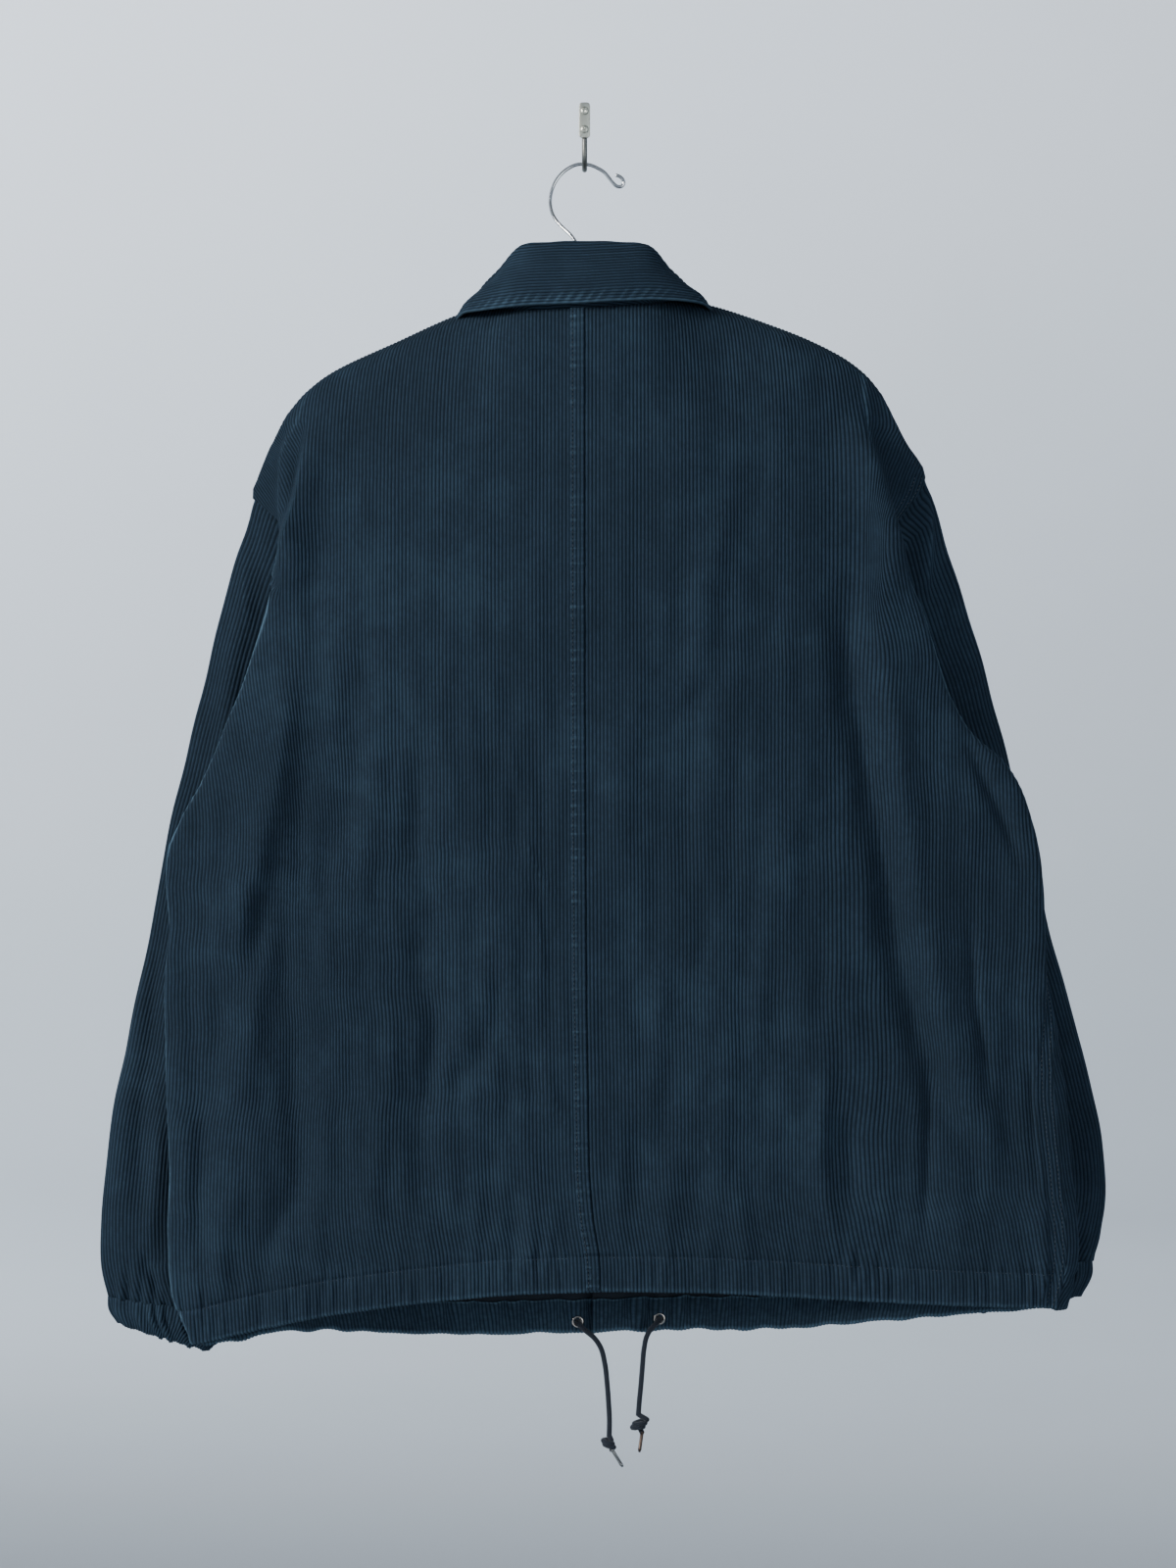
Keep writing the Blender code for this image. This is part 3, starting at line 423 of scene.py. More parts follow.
COLLAR = table(
    CollarStation,
    ((25, -9, 221), (22, -11, 199), (-6, -4.5, 246)),
    ((-45, -15, 203), (-40, -14, 186), (-72, -6, 222)),
    ((-78, -30, 169), (-83, -26, 158), (-102, -9, 180)),
    ((-84, -44, 150.5), (-79, -44, 139), (-95, -49, 158)),
    ((-70, -62, 154.5), (-61, -58, 121), (-78, -71, 154.5)),
    ((-45, -72, 155), (-45.5, -67, 105.6), (-47, -81, 152.5)),
    ((-24, -75.5, 154.7), (-24, -69.5, 104.2), (-24, -84, 151.6)),
    ((2, -78, 154), (2, -71, 103.5), (2, -86, 150.6)),
    ((26, -75.5, 152.4), (26, -69.5, 104.3), (27, -84, 149.2)),
    ((48, -72, 150.5), (48, -67, 107.2), (50, -81, 147.6)),
    ((73, -62, 148), (63, -58, 121), (79, -71, 148.5)),
    ((88, -44, 145.5), (80, -44, 139), (96, -49, 152)),
    ((88, -30, 165), (89, -26, 154), (107, -9, 173)),
    ((70, -17, 198), (72, -15.5, 183), (98, -6, 216)),
    ((28, -13.4, 221), (31, -12.5, 199), (58, -5, 244)),
)

CORD_ROUTES = {
    "left": table(
        Point,
        (-5.2, -13.2, 912.3), (-4.6, -16.5, 912.9), (-2.6, -19.4, 915), (1.5, -20.6, 918.4),
        (7, -20.4, 923), (12, -19.2, 930.5), (15.3, -18, 943), (17, -17.4, 957.5), (18.1, -17.2, 972),
        (18.8, -17, 986), (18.6, -17, 998.5),
    ),
    "right": table(
        Point,
        (56.6, -17.8, 909.3), (56, -21.1, 909.9), (54, -23.8, 912), (50.2, -24.8, 915.6),
        (46.9, -24.2, 921.6), (44.9, -22.6, 931), (43.7, -20.8, 945), (42.5, -19.4, 960),
        (41.2, -18.2, 974), (40.6, -18, 982.5),
    ),
}
KNOTS = {"left": Point(18, -17, 1003.5), "right": Point(41.2, -18, 989.2)}
TIPS = {
    "left": table(Point, (20.6, -17, 1007.9), (28.9, -17, 1021.4)),
    "right": table(Point, (43.6, -18, 994.2), (41.4, -18, 1010)),
}
EYELETS = {"left": Point(-5.2, -11.9, 912.3), "right": Point(56.6, -16.5, 909.3)}

WIRE_ROUTE = table(
    Point,
    (23.5, -15, 44.2), (26.6, -15, 45.4), (29.2, -15, 48), (29.6, -15, 50.7), (27.7, -15, 52.9),
    (24.8, -15, 52.8), (21.6, -15, 50.2), (18.8, -15, 46.7), (15, -15, 42.2), (9.8, -15, 39),
    (4.6, -15, 36.8), (0, -15, 36), (-6, -15, 36.4), (-12, -15, 39), (-17.6, -15, 43.4),
    (-22.4, -15.2, 50), (-25.2, -15.8, 57.4), (-26, -17, 64.6), (-25, -19.4, 72), (-21.6, -23, 79.6),
    (-16, -27, 86.4), (-10.4, -30.4, 92.2), (-6.2, -34, 99), (-4.4, -38, 110), (-4, -41.4, 122),
    (-4, -43.4, 134), (-4, -44, 142),
)
BAR_ROUTE = table(
    Point,
    (-213, -45, 233), (-206, -45, 225), (-194, -45, 214), (-172, -45, 201), (-140, -45, 186.5),
    (-104, -46, 172.5), (-70, -46, 162), (-36, -45, 152), (-4, -44, 147.5), (36, -45, 150), (74, -46, 158),
    (104, -46, 164), (130, -45, 171.5), (168, -45, 186.5), (192, -45, 199), (203, -45, 209),
    (208, -45, 216),
)

# Flat cuts
BACK_CUTS = {"left": Cut(0.371, 0.812, 0.243), "right": Cut(0.394, 0.812, 0.250)}
FELL_CUT = Cut(0.0113, 0.725, 0.0082)
FRONT_CUTS = {"left": Cut(0.397, 0.827, 0.237), "right": Cut(0.400, 0.827, 0.232)}
SLEEVE_CUTS = {"left": Cut(0.540, 0.600, 0.125), "right": Cut(0.526, 0.600, 0.121)}
CUFF_CUTS = {"left": Cut(0.250, 0.060, 0.0130), "right": Cut(0.235, 0.055, 0.0110)}
COLLAR_CUT = Cut(0.105, 0.553, 0.0345)

TOP_BLENDS = (0.0, 0.07, 0.22, 0.5)
LAST_LEVEL = 800.0         # the lowest level row; those below follow the hem
SHOULDER_SHARES = (0.4, 0.66, 0.82, 0.94, 1.0)
TOP_EASE = 0.5
DENSE_ROWS = 320
BACK_COLUMNS = (0.0, 0.25, 0.5, 0.75)
BACK_ROUND = 2.2
FOLD_COLUMN = 5            # column of a back half's net on the crest of its side fold
FOLD_LEAD = 14.0
HEM_BLENDS = (0.34, 0.68, 1.0)
FRONT_COLUMNS = (0.05, 0.14, 0.25, 0.38, 0.6, 0.82, 1.0)
SLEEVE_BLENDS = (0.0, 0.1, 0.28, 0.5, 0.75)
SLEEVE_EASE = 0.4
UNDERARM_EASE = 1.4
UNDERARM_TURN = 60.0
SLEEVE_CLEAR = 3.5
SLEEVE_BULGE = 4.5
CREASE_END = 0.3           # share of a crease over which it fades at each end
CREASE_LINE_HALF = 1.6            # half the width of a crease's lighter line: painted highlight, and wear
COLLAR_SECTIONS = 61
COLLAR_FACING = Facing.WALL    # its sections start at the fall's edge, so its sheet is turned over
ROLL_HALF = 3.2            # half the thickness of the collar's fold
SEAM_COVER = (0, 2.3, 3.0)     # from the back's neck edge to the collar's
ROUNDNESS = 0.8
PLEAT = 10.5               # from pleat to pleat of a gathered cuff
SEAM_BACK = 1.5            # how far a sleeve's first ring runs on under the body
SEAM_UNDER = 1.9           # and how far below the body's cloth it lies there


# ---------------------------------------------------------------- curves and nets


def unit(vectors: Any) -> Numbers:
    """The same directions with length 1."""
    return vectors / np.maximum(np.linalg.norm(vectors, axis=-1, keepdims=True), TINY)


def reached(points: Any) -> Numbers:
    """How far points are from the first one, along a line or down each column of a grid."""
    step = np.linalg.norm(np.diff(points, axis=0), axis=-1)
    return np.concatenate([np.zeros_like(step[:1]), np.cumsum(step, axis=0)])


def curve_at(knots: Any, values: Any, at: Any) -> Numbers:
    """Reads a smooth curve through values at knots.

    Args:
        knots: Rising places of the values.
        values: One value or point for each knot.
        at: The places to read.

    Returns:
        The curve's values at those places.
    """
    knots, values, at = (np.asarray(a, float) for a in (knots, values, at))
    slopes = np.gradient(values, knots, axis=0)
    left = np.clip(np.searchsorted(knots, at, side="right") - 1, 0, len(knots) - 2)
    width = knots[left + 1] - knots[left]
    t = (at - knots[left]) / width
    shape = (-1,) + (1,) * (values.ndim - 1)
    t, width = t.reshape(shape), width.reshape(shape)
    return (
        values[left] * (1 + 2 * t) * (1 - t) ** 2
        + values[left + 1] * t * t * (3 - 2 * t)
        + slopes[left] * width * t * (1 - t) ** 2
        - slopes[left + 1] * width * t * t * (1 - t)
    )


def along(points: Any, shares: Any, guide: Any = None) -> Numbers:
    """Reads a smooth curve through points at shares of its length.

    Args:
        points: The curve's points.
        shares: Places from 0 to 1.
        guide: Points whose spacing sets the shares; the curve's own if left out.

    Returns:
        The points at those places.
    """
    points = np.array(points, float)
    far = reached(points if guide is None else guide)
    return curve_at(far / far[-1], points, shares)


def smoothstep(value: Any) -> Any:
    """Eases from 0 to 1 as value does."""
    value = np.clip(value, 0, 1)
    return value * value * (3 - 2 * value)


def bump(value: Any, width: Any) -> Any:
    """A soft bump of height 1 at 0."""
    return np.exp(-((value / width) ** 2))


def side_at(side: Side, drop: float) -> SideRow:
    """The side's row at a drop, between its table's rows."""
    rows = np.array(side.rows, float)
    return SideRow(*curve_at(rows[:, 0], rows, [drop])[0])


def back_row(side: Side, drop: float) -> Row:
    """One level row of a back half, from the centre seam to its edge.

    Args:
        side: Its side.
        drop: Its drop.

    Returns:
        Its places.
    """
    centre = np.array(CENTRE, float)
    _, centre_x, centre_y = curve_at(centre[:, 0], centre, [drop])[0]
    row = side_at(side, drop)
    lead_x, lead_y = row.fold_x - side.sign * FOLD_LEAD, row.fold_y - row.rise
    flat = [
        (centre_x + share * (lead_x - centre_x), centre_y + (lead_y - centre_y) * share ** BACK_ROUND, drop)
        for share in BACK_COLUMNS
    ]
    tuck_x = row.fold_x + 0.25 * (row.back_x - row.fold_x)
    tuck_y = row.fold_y + 0.5 * (row.back_y - row.fold_y)
    return flat + [
        (lead_x, lead_y, drop), (row.fold_x, row.fold_y, drop), (tuck_x, tuck_y, drop),
        (row.back_x, row.back_y, drop),
    ]


def front_row(side: Side, drop: float) -> Row:
    """One level row of a front, from its edge at the side to its edge at the centre.

    Args:
        side: Its side.
        drop: Its drop.

    Returns:
        Its places.
    """
    row = side_at(side, drop)
    points = [(row.front_x, row.front_y, drop), (row.turn_x, row.turn_y, drop)]
    for share in FRONT_COLUMNS:
        x = row.turn_x + share * (side.front_edge - row.turn_x)
        push = smoothstep((abs(x) - 180) / 55) * smoothstep((drop - side.armhole[1] + 80) / 100)
        points.append((x, side.front_y - SIDE_PUSH * float(push), drop))
    return points


def hem_rows(last_row: Any, hem: Any, sample: Callable[[float], Row]) -> list[Numbers]:
    """The rows that turn the last level row into the hem's curve.

    Args:
        last_row: The lowest level row.
        hem: The hem as (x, drop) places.
        sample: Gives a level row by its drop.

    Returns:
        Three rows, the last one on the hem.
    """
    places, drops = np.array(hem, float).T
    last_row = np.array(last_row, float)
    rows = []
    for blend in HEM_BLENDS:
        row = last_row
        for _ in range(3):
            edge = curve_at(places, drops, row[:, 0])
            drop = last_row[:, 2] + blend * (edge - last_row[:, 2])
            row = np.array([sample(d)[k] for k, d in enumerate(drop)], float)
        rows.append(row)
    return rows


def level_drops(side: Side) -> list[float]:
    """The heights of a side's level rows."""
    return [row.drop for row in side.rows if row.drop <= LAST_LEVEL]


def panel_net(
    side: Side, top: Sequence[Numbers], hem: Any, sample: Callable[[Side, float], Row]
) -> Numbers:
    """The middle of a panel's cloth from its top edge down to the hem.

    Args:
        side: The side it belongs to.
        top: Parts of its top edge, in order.
        hem: The hem as (x, drop) places.
        sample: Gives a level row by side and drop.

    Returns:
        Rows x columns x (x, y, drop).
    """
    level = [sample(side, drop) for drop in level_drops(side)]
    edge, first_row = np.concatenate(top), np.array(level[0], float)
    rows = [edge + (first_row - edge) * np.array([b, b ** TOP_EASE, b]) for b in TOP_BLENDS] + level
    return np.array(rows + hem_rows(level[-1], hem, lambda drop: sample(side, drop)), float)


def back_net(side: Side) -> Numbers:
    """The middle of a back half's cloth, from the centre seam to its edge."""
    neck, shoulder = along(side.neck, (0, 0.5, 1)), along(side.neck[-1:] + side.shoulder, SHOULDER_SHARES)
    return panel_net(side, (neck, shoulder), BACK_HEM, back_row)


def front_net(side: Side) -> Numbers:
    """The middle of a front's cloth, from the side to the centre edge.

    Args:
        side: Its side.

    Returns:
        The rows of its net.
    """
    shoulder = along(side.neck[-1:] + side.shoulder, SHOULDER_SHARES)[::-1]
    neck = along(side.front_neck[::-1], (0, 0.45, 0.8))
    edge = np.array([(side.front_edge, side.front_y, side.front_neck[0].drop)])
    return panel_net(side, (shoulder, neck, edge), FRONT_HEM, front_row)


def refined(rows: Numbers, columns: int) -> Numbers:
    """Rows resampled to this many steps on a smooth curve through their points."""
    at = np.linspace(0, rows.shape[1] - 1, columns + 1)
    return np.stack([curve_at(np.arange(rows.shape[1]), row, at) for row in rows])


def ring_points(ring: SleeveRing, count: int) -> Numbers:
    """A flattened ring: outer edge, past the side towards the viewer, inner edge, and back.

    Args:
        ring: Its edges and depth.
        count: Number of points round.

    Returns:
        The points, of which the last is the first again.
    """
    turn = np.linspace(0, 2 * math.pi, count + 1)
    share = (1 - np.cos(turn)) / 2
    bulge = np.sign(np.sin(turn)) * np.abs(np.sin(turn)) ** ROUNDNESS
    x = ring.outer_x + share * (ring.inner_x - ring.outer_x)
    drop = ring.outer_drop + share * (ring.inner_drop - ring.outer_drop)
    return np.stack([x, ring.middle_y - bulge * ring.depth / 2, drop], axis=1)


def sleeve_net(side: Side) -> Numbers:
    """The middle of a sleeve's cloth: the armhole's own points, fanned out into the hanging tube.

    Args:
        side: Its side.

    Returns:
        The rings of its net.
    """
    back, front = refined(back_net(side), 14), refined(front_net(side), 16)
    drops = level_drops(side)
    shoulder, underarm = (len(TOP_BLENDS) + drops.index(drop) for drop in side.armhole)
    seam = back[shoulder : underarm + 1, -1]
    armhole = np.concatenate([seam, front[shoulder:underarm, 0][::-1]])
    count = len(armhole) - 1
    hanging = [ring_points(ring, count) for ring in side.rings]
    outer = (1 + np.cos(np.linspace(0, 2 * math.pi, count + 1))) / 2
    least_drops = np.append(seam[:, 2], seam[-1, 2] + UNDERARM_TURN)
    least = np.append(side.sign * seam[:, 0] + SLEEVE_CLEAR, side.sign * seam[-1, 0] - UNDERARM_TURN / 2)
    ply = slice(0, (count + 1) // 2 + 1)
    rows = []
    for blend in SLEEVE_BLENDS:
        share = np.full((count + 1, 3), blend)
        share[:, 0] = blend ** (1 + UNDERARM_EASE * (1 - outer))
        share[:, 1] = blend ** SLEEVE_EASE
        row = armhole + (hanging[0] - armhole) * share
        row[:, 0] += side.sign * SLEEVE_BULGE * math.sin(math.pi * blend) * outer
        if blend:
            reach = np.maximum(side.sign * row[ply, 0], np.interp(row[ply, 2], least_drops, least))
            row[ply, 0] = side.sign * reach
        rows.append(row)
    inward = (armhole.mean(axis=0) - armhole) * (1, 1, 0)
    rows[0] = rows[0] - unit(rows[1] - rows[0]) * SEAM_BACK + unit(inward) * SEAM_UNDER
    return np.array(rows + hanging)


def collar_net(seam: Numbers) -> Numbers:
    """The collar's folded cloth as sections from the fall's edge over the roll to the neck seam.

    Args:
        seam: The body's neck edge at the back, as points in order of x.

    Returns:
        Sections x 9 points.
    """
    stations = np.array(COLLAR, float)
    shares = np.linspace(0, 1, COLLAR_SECTIONS)
    neck, roll, fall = (along(stations[:, k], shares, stations[:, 1]) for k in range(3))
    out = unit((fall - roll) * (1, 1, 0))
    low = np.array([0, 0, 1.0])
    behind = smoothstep((-42 - neck[:, 1:2]) / 6)
    on_seam = np.stack([np.interp(neck[:, 0], seam[:, 0], seam[:, k]) for k in range(3)], axis=1)
    neck = neck + (on_seam + SEAM_COVER - neck) * behind
    half = ROLL_HALF
    rows = [
        fall, roll + (fall - roll) * 0.55 + out * half, roll + out * (half + 0.6) + low * 5,
        roll + out * half * 0.7 + low * 1.2, roll, roll - out * half * 0.7 + low * 1.2,
        roll - out * half + low * 5, neck + (roll - neck) * 0.5 - out * 0.6, neck,
    ]
    return np.array(rows).transpose(1, 0, 2)


# ---------------------------------------------------------------- relief


@dataclass(frozen=True)
class Ripples:
    """An uneven wave pattern that is the same on every run.

    Attributes:
        seed: Chooses the pattern.
        length: Usual distance between waves.
        stretch: How much longer they are down than across.
        count: Number of waves that are added up.
    """

    seed: int
    length: float
    stretch: float = 1.0
    count: int = 9

    def at(self, across: Any, down: Any = 0.0) -> Numbers:
        """The pattern's height, mostly within -1.5 and 1.5, at places across and down.

        Args:
            across: Distances across the pattern.
            down: Distances down it.

        Returns:
            The heights.
        """
        random = np.random.default_rng(self.seed)
        total = np.zeros(np.broadcast(across, down).shape)
        for _ in range(self.count):
            angle, phase = random.uniform(-0.9, 0.9), random.uniform(0, 2 * math.pi)
            turn = 2 * math.pi / (self.length * random.uniform(0.65, 1.6))
            slope = math.sin(angle) * random.choice((-1, 1)) / self.stretch
            total += np.sin(turn * (across * math.cos(angle) + down * slope) + phase)
        return total / math.sqrt(self.count / 2)


def crease_relief(creases: Sequence[Crease], x: Numbers, drop: Numbers) -> tuple[Numbers, Numbers]:
    """How far creases lift the cloth, and how much lighter it is along them, as painted highlight and wear.

    Args:
        creases: The creases.
        x: The places' x.
        drop: The places' drops.

    Returns:
        The lift, and the painted highlight and wear, at each place.
    """
    lift, worn_and_lit = np.zeros(x.shape), np.zeros(x.shape)
    for crease in creases:
        points = np.array(crease.line, float)
        guide = np.linspace(0, 1, 9 if len(points) == 2 else 25)
        straight = points[0] + (points[1] - points[0]) * guide[:, None]
        line = straight if len(points) == 2 else along(points, guide)
        best = np.full(x.shape, FAR)
        signed, share = np.zeros(x.shape), np.zeros(x.shape)
        for k, (start, end) in enumerate(zip(line, line[1:])):
            step = end - start
            t = np.clip(((x - start[0]) * step[0] + (drop - start[1]) * step[1]) / (step @ step), 0, 1)
            off_x, off_drop = x - start[0] - t * step[0], drop - start[1] - t * step[1]
            distance = np.hypot(off_x, off_drop)
            nearer = distance < best
            best = np.where(nearer, distance, best)
            signed = np.where(nearer, off_x * step[1] - off_drop * step[0], signed)
            share = np.where(nearer, (k + t) / (len(line) - 1), share)
        ends = smoothstep(share / CREASE_END) * smoothstep((1 - share) / CREASE_END)
        lift += crease.height * ends * bump(best, np.where(signed < 0, crease.left, crease.right))
        # a crease's line painted lighter: mostly painted highlight along its crest, with some wear
        worn_and_lit += crease.worn_and_lit * ends * bump(best, CREASE_LINE_HALF)
    return lift, worn_and_lit


class Places(NamedTuple):
    """Where each point of a sheet is: its x and drop, and how far it is from the sheet's edges."""

    x: Numbers
    drop: Numbers
    reach: Numbers     # from the first wale
    length: Numbers    # from the top
    rise: Numbers      # from the lower edge


@dataclass
class Sheet:
    """A sheet of ribbed cloth whose rows run across its wales.

    Attributes:
        points: Its middle as rows x columns x (x, y, drop).
        facing: Which way its ribbed face looks.
        measure: How wale spacing is taken.
        first: Column at which the wales are counted from.
        drift: Extra distance added to the wales' places, rows x columns.
        wear_and_light: How worn the cloth is, with its painted highlight and painted light, rows x columns.
        reach: Each point's distance from the first wale, kept from before the cloth was gathered.
    """

    points: Numbers
    facing: Facing
    measure: Measure = Measure.LEVEL
    first: int = 0
    drift: Numbers | None = None
    wear_and_light: Numbers | None = None
    reach: Numbers | None = None

    def normals(self) -> Numbers:
        """Unit normals towards the ribbed face."""
        down, across = np.gradient(self.points, axis=0), np.gradient(self.points, axis=1)
        normal = unit(np.cross(down, across))
        if self.facing is Facing.OUTWARD:
            out = self.points - self.points.mean(axis=1, keepdims=True)
            turned = np.median((normal * out).sum(axis=2)) < 0
        else:
            turned = (np.median(normal[: len(normal) * 2 // 3, :, 1]) < 0) == (self.facing is Facing.WALL)
        return -normal if turned else normal

    def lift(self, height: Numbers) -> None:
        """Moves the cloth towards its ribbed face by these heights."""
        self.points = self.points + self.normals() * height[..., None]

    def wales(self) -> Numbers:
        """How far each point is from the first wale, across the wales."""
        if self.reach is None:
            row = self.points[..., :2] if self.measure is Measure.LEVEL else self.points
            across = reached(row.swapaxes(0, 1)).T
            across = across - across[:, self.first : self.first + 1]
        else:
            across = self.reach
        if self.drift is not None:
            across = np.maximum.accumulate(across + self.drift, axis=1)
        return across + 1e-4 * np.arange(across.shape[1])

    def places(self) -> Places:
        """Where its points are."""
        length = reached(self.points)
        return Places(self.points[..., 0], self.points[..., 2], self.wales(), length, length[-1] - length)

    def extend(self, rows: Sequence[Numbers]) -> None:
        """Adds rows below the last one, with its wales, wear and painted light.

        Args:
            rows: The points of each.
        """
        self.points = np.concatenate([self.points, np.array(rows)])
        for name in ("drift", "wear_and_light", "reach"):
            value = getattr(self, name)
            if value is not None:
                setattr(self, name, np.concatenate([value, np.repeat(value[-1:], len(rows), axis=0)]))

    def line(self, distance: float, height: float, first_row: int = 0, last_row: int | None = None) -> Line:
        """A line down the sheet.

        Args:
            distance: How far from the first wale it runs, or from the last one if below 0.
            height: How high above the middle.
            first_row: Its first row.
            last_row: The row that it stops before.

        Returns:
            Its points, and the normals there.
        """
        wales = self.wales()[first_row:last_row]
        at = np.full((len(wales), 1), distance) if distance >= 0 else wales[:, -1:] + distance
        full = np.concatenate([self.points, self.normals()], axis=2)[first_row:last_row]
        found = across_to(full, wales, at)[:, 0]
        return found[:, :3] + found[:, 3:] * height, found[:, 3:]


def down_to(points: Numbers, at: Numbers) -> Numbers:
    """Reads each column of a grid at its own rows.

    Args:
        points: Rows x columns x values.
        at: New rows x columns, as places among the old rows.

    Returns:
        New rows x columns x values.
    """
    at = np.clip(at, 0, len(points) - 1.000001)
    low = at.astype(int)
    share = (at - low)[..., None]
    column = np.arange(points.shape[1])[None, :]
    return points[low, column] * (1 - share) + points[low + 1, column] * share


def across_to(values: Numbers, wales: Numbers, at: Numbers) -> Numbers:
    """Reads each row of a grid at places across its wales.

    Args:
        values: Rows x columns x values.
        wales: How far each point is from the first wale.
        at: Rows x new columns, as distances from the first wale.

    Returns:
        Rows x new columns x values.
    """
    count = wales.shape[1]
    place = np.stack([np.interp(row, known, np.arange(count)) for row, known in zip(at, wales)])
    low = np.clip(place.astype(int), 0, count - 2)
    share = (place - low)[..., None]
    row = np.arange(len(wales))[:, None]
    return values[row, low] * (1 - share) + values[row, low + 1] * share


def dense(net: Numbers, rows: int, columns: int) -> Numbers:
    """A net read finely both ways on smooth curves through its points.

    Args:
        net: Rows of points.
        rows: Number of rows to read.
        columns: Number of columns to read.

    Returns:
        The finer net.
    """
    far = reached(net).mean(axis=1)
    count = net.shape[1]
    across = curve_at(np.arange(count), np.eye(count), np.linspace(0, count - 1, columns))
    down = curve_at(far, np.eye(len(net)), np.linspace(0, far[-1], rows))
    return np.einsum("ri,ijk,cj->rck", down, net, across)


# ---------------------------------------------------------------- meshes


def in_metres(points: Any) -> Numbers:
    """Rows of (x, y, drop) in mm as (x, y, z) in metres."""
    return np.asarray(points, float) * (MM, MM, -MM)


def linked(name: str, data: Any) -> Any:
    """A new object in the scene.

    Args:
        name: Its name.
        data: Its mesh, camera or light.

    Returns:
        The object.
    """
    made = bpy.data.objects.new(name, data)
    bpy.context.scene.collection.objects.link(made)
    return made


def add_piece(name: str, data: Any, finishes: Sequence[Any], slot: str, *replaced: str) -> Any:
    """Adds a finished piece to the scene.

    Args:
        name: The piece's name.
        data: Its mesh.
        finishes: Its finishes, in the order of its material slots.
        slot: The record's material slot; not used.
        replaced: CAD nodes that it stands for.

    Returns:
        The object.
    """
    for finish in finishes:
        data.materials.append(finish.material())
    made = linked(name, data)
    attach(made, BODY)
    if replaced:
        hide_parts(*replaced)
    return made


def finished(shape: Any, name: str) -> Any:
    """A smooth mesh from a bmesh, which is freed.

    Args:
        shape: The bmesh.
        name: The mesh's name.

    Returns:
        The mesh.
    """
    mesh = bpy.data.meshes.new(name)
    shape.to_mesh(mesh)
    shape.free()
    mesh.polygons.foreach_set("use_smooth", np.ones(len(mesh.polygons), bool))
    return mesh


def skin(name: str, grid: Numbers, data: Numbers, inner: Numbers) -> Any:
    """A closed skin from rings of points whose ends are already drawn together.

    Args:
        name: The mesh's name.
        grid: Rings x points x (x, y, drop); each ring's last point is its first.
        data: Rings x points x 3 values for the cloth attribute.
        inner: For each face across a ring, whether it lies on the inner side.

    Returns:
        The mesh.
    """
    down, across = grid.shape[0] - 1, grid.shape[1] - 1
    shape = bmesh.new()
    bmesh.ops.create_grid(shape, x_segments=across, y_segments=down, size=0.5)
    mesh = bpy.data.meshes.new(name)
    shape.to_mesh(mesh)
    flat = np.empty(len(mesh.vertices) * 3, np.float32)
    mesh.vertices.foreach_get("co", flat)
    flat = flat.reshape(-1, 3)
    column = np.rint((flat[:, 0] + 0.5) * across).astype(int)
    row = np.rint((flat[:, 1] + 0.5) * down).astype(int)
    corners = np.empty(len(mesh.polygons) * 4, np.int32)
    mesh.polygons.foreach_get("vertices", corners)
    face_column = column[corners.reshape(-1, 4)].min(axis=1)
    mesh.vertices.foreach_set("co", in_metres(grid[row, column]).astype(np.float32).ravel())
    mesh.polygons.foreach_set("material_index", inner[face_column].astype(np.int32))
    layer = mesh.attributes.new(CLOTH_DATA, "FLOAT_VECTOR", "POINT")
    layer.data.foreach_set("vector", data[row, column].astype(np.float32).ravel())
    shape.clear()
    shape.from_mesh(mesh)
    bpy.data.meshes.remove(mesh)
    bmesh.ops.remove_doubles(shape, verts=shape.verts, dist=2e-6)
    bmesh.ops.recalc_face_normals(shape, faces=shape.faces)
    return finished(shape, name)


def ribbed(name: str, sheet: Sheet, ribs: float = WALE, inner_face: float = INNER_FACE) -> Any:
    """A wall of corduroy: wales on its outer face, smooth on its inner one, soft round its edges.

    Args:
        name: The mesh's name.
        sheet: The cloth's middle.
        ribs: Height of its wales.
        inner_face: From its middle to its inner face.

    Returns:
        The mesh.
    """
    step = PITCH / STEPS
    wales = sheet.wales()
    low, high = wales[:, :1], wales[:, -1:]
    first = math.floor(low.min() / PITCH) * STEPS
    last = math.ceil(high.max() / PITCH) * STEPS
    at = np.clip(np.arange(first, last + 1)[None] * step, low, high)
    known = np.concatenate([sheet.points, sheet.normals(), sheet.wear_and_light[..., None]], axis=2)
    full = across_to(known, wales, at)
    middle, normal = full[..., :3], unit(full[..., 3:6])
    apart = np.linalg.norm(np.gradient(middle, axis=1), axis=2) / step
    raised = smoothstep((apart - 0.2) / 0.5)
    height = GROUND + ribs * (0.35 + (np.abs(np.sin(math.pi * (at / PITCH % 1))) ** 0.6 - 0.35) * raised)
    outer = middle + normal * height[..., None]
    inside = (middle - normal * inner_face)[:, ::STEPS][:, ::-1]
    bulge = (inner_face + GROUND) * 0.4
    sides = [
        (middle[:, edge] + unit(sheet.points[:, edge] - sheet.points[:, beside]) * bulge)[:, None]
        for edge, beside in ((0, 3), (-1, -4))
    ]
    grid = np.concatenate([sides[0], outer, sides[1], inside, sides[0]], axis=1)
    data = np.stack([at * MM, middle[..., 2] * MM, full[..., 6]], axis=2)
    back = data[:, ::STEPS][:, ::-1]
    values = np.concatenate([data[:, :1], data, data[:, -1:], back, data[:, :1]], axis=1)
    count = outer.shape[1]
    snapped = np.rint(np.arange(count) / STEPS).astype(int) * STEPS
    ends = []
    for edge, beside in ((0, 1), (-1, -2)):
        line = middle[edge] + unit(middle[edge] - middle[beside]) * bulge
        parts = [line[:1], line[snapped], line[-1:], line[::STEPS][::-1], line[:1]]
        ends.append(np.concatenate(parts)[None])
    grid = np.concatenate([ends[0], grid, ends[1]])
    values = np.concatenate([values[:1], values, values[-1:]])
    inner = np.zeros(grid.shape[1] - 1, bool)
    inner[count + 1 : -1] = True
    return skin(name, grid, values, inner)


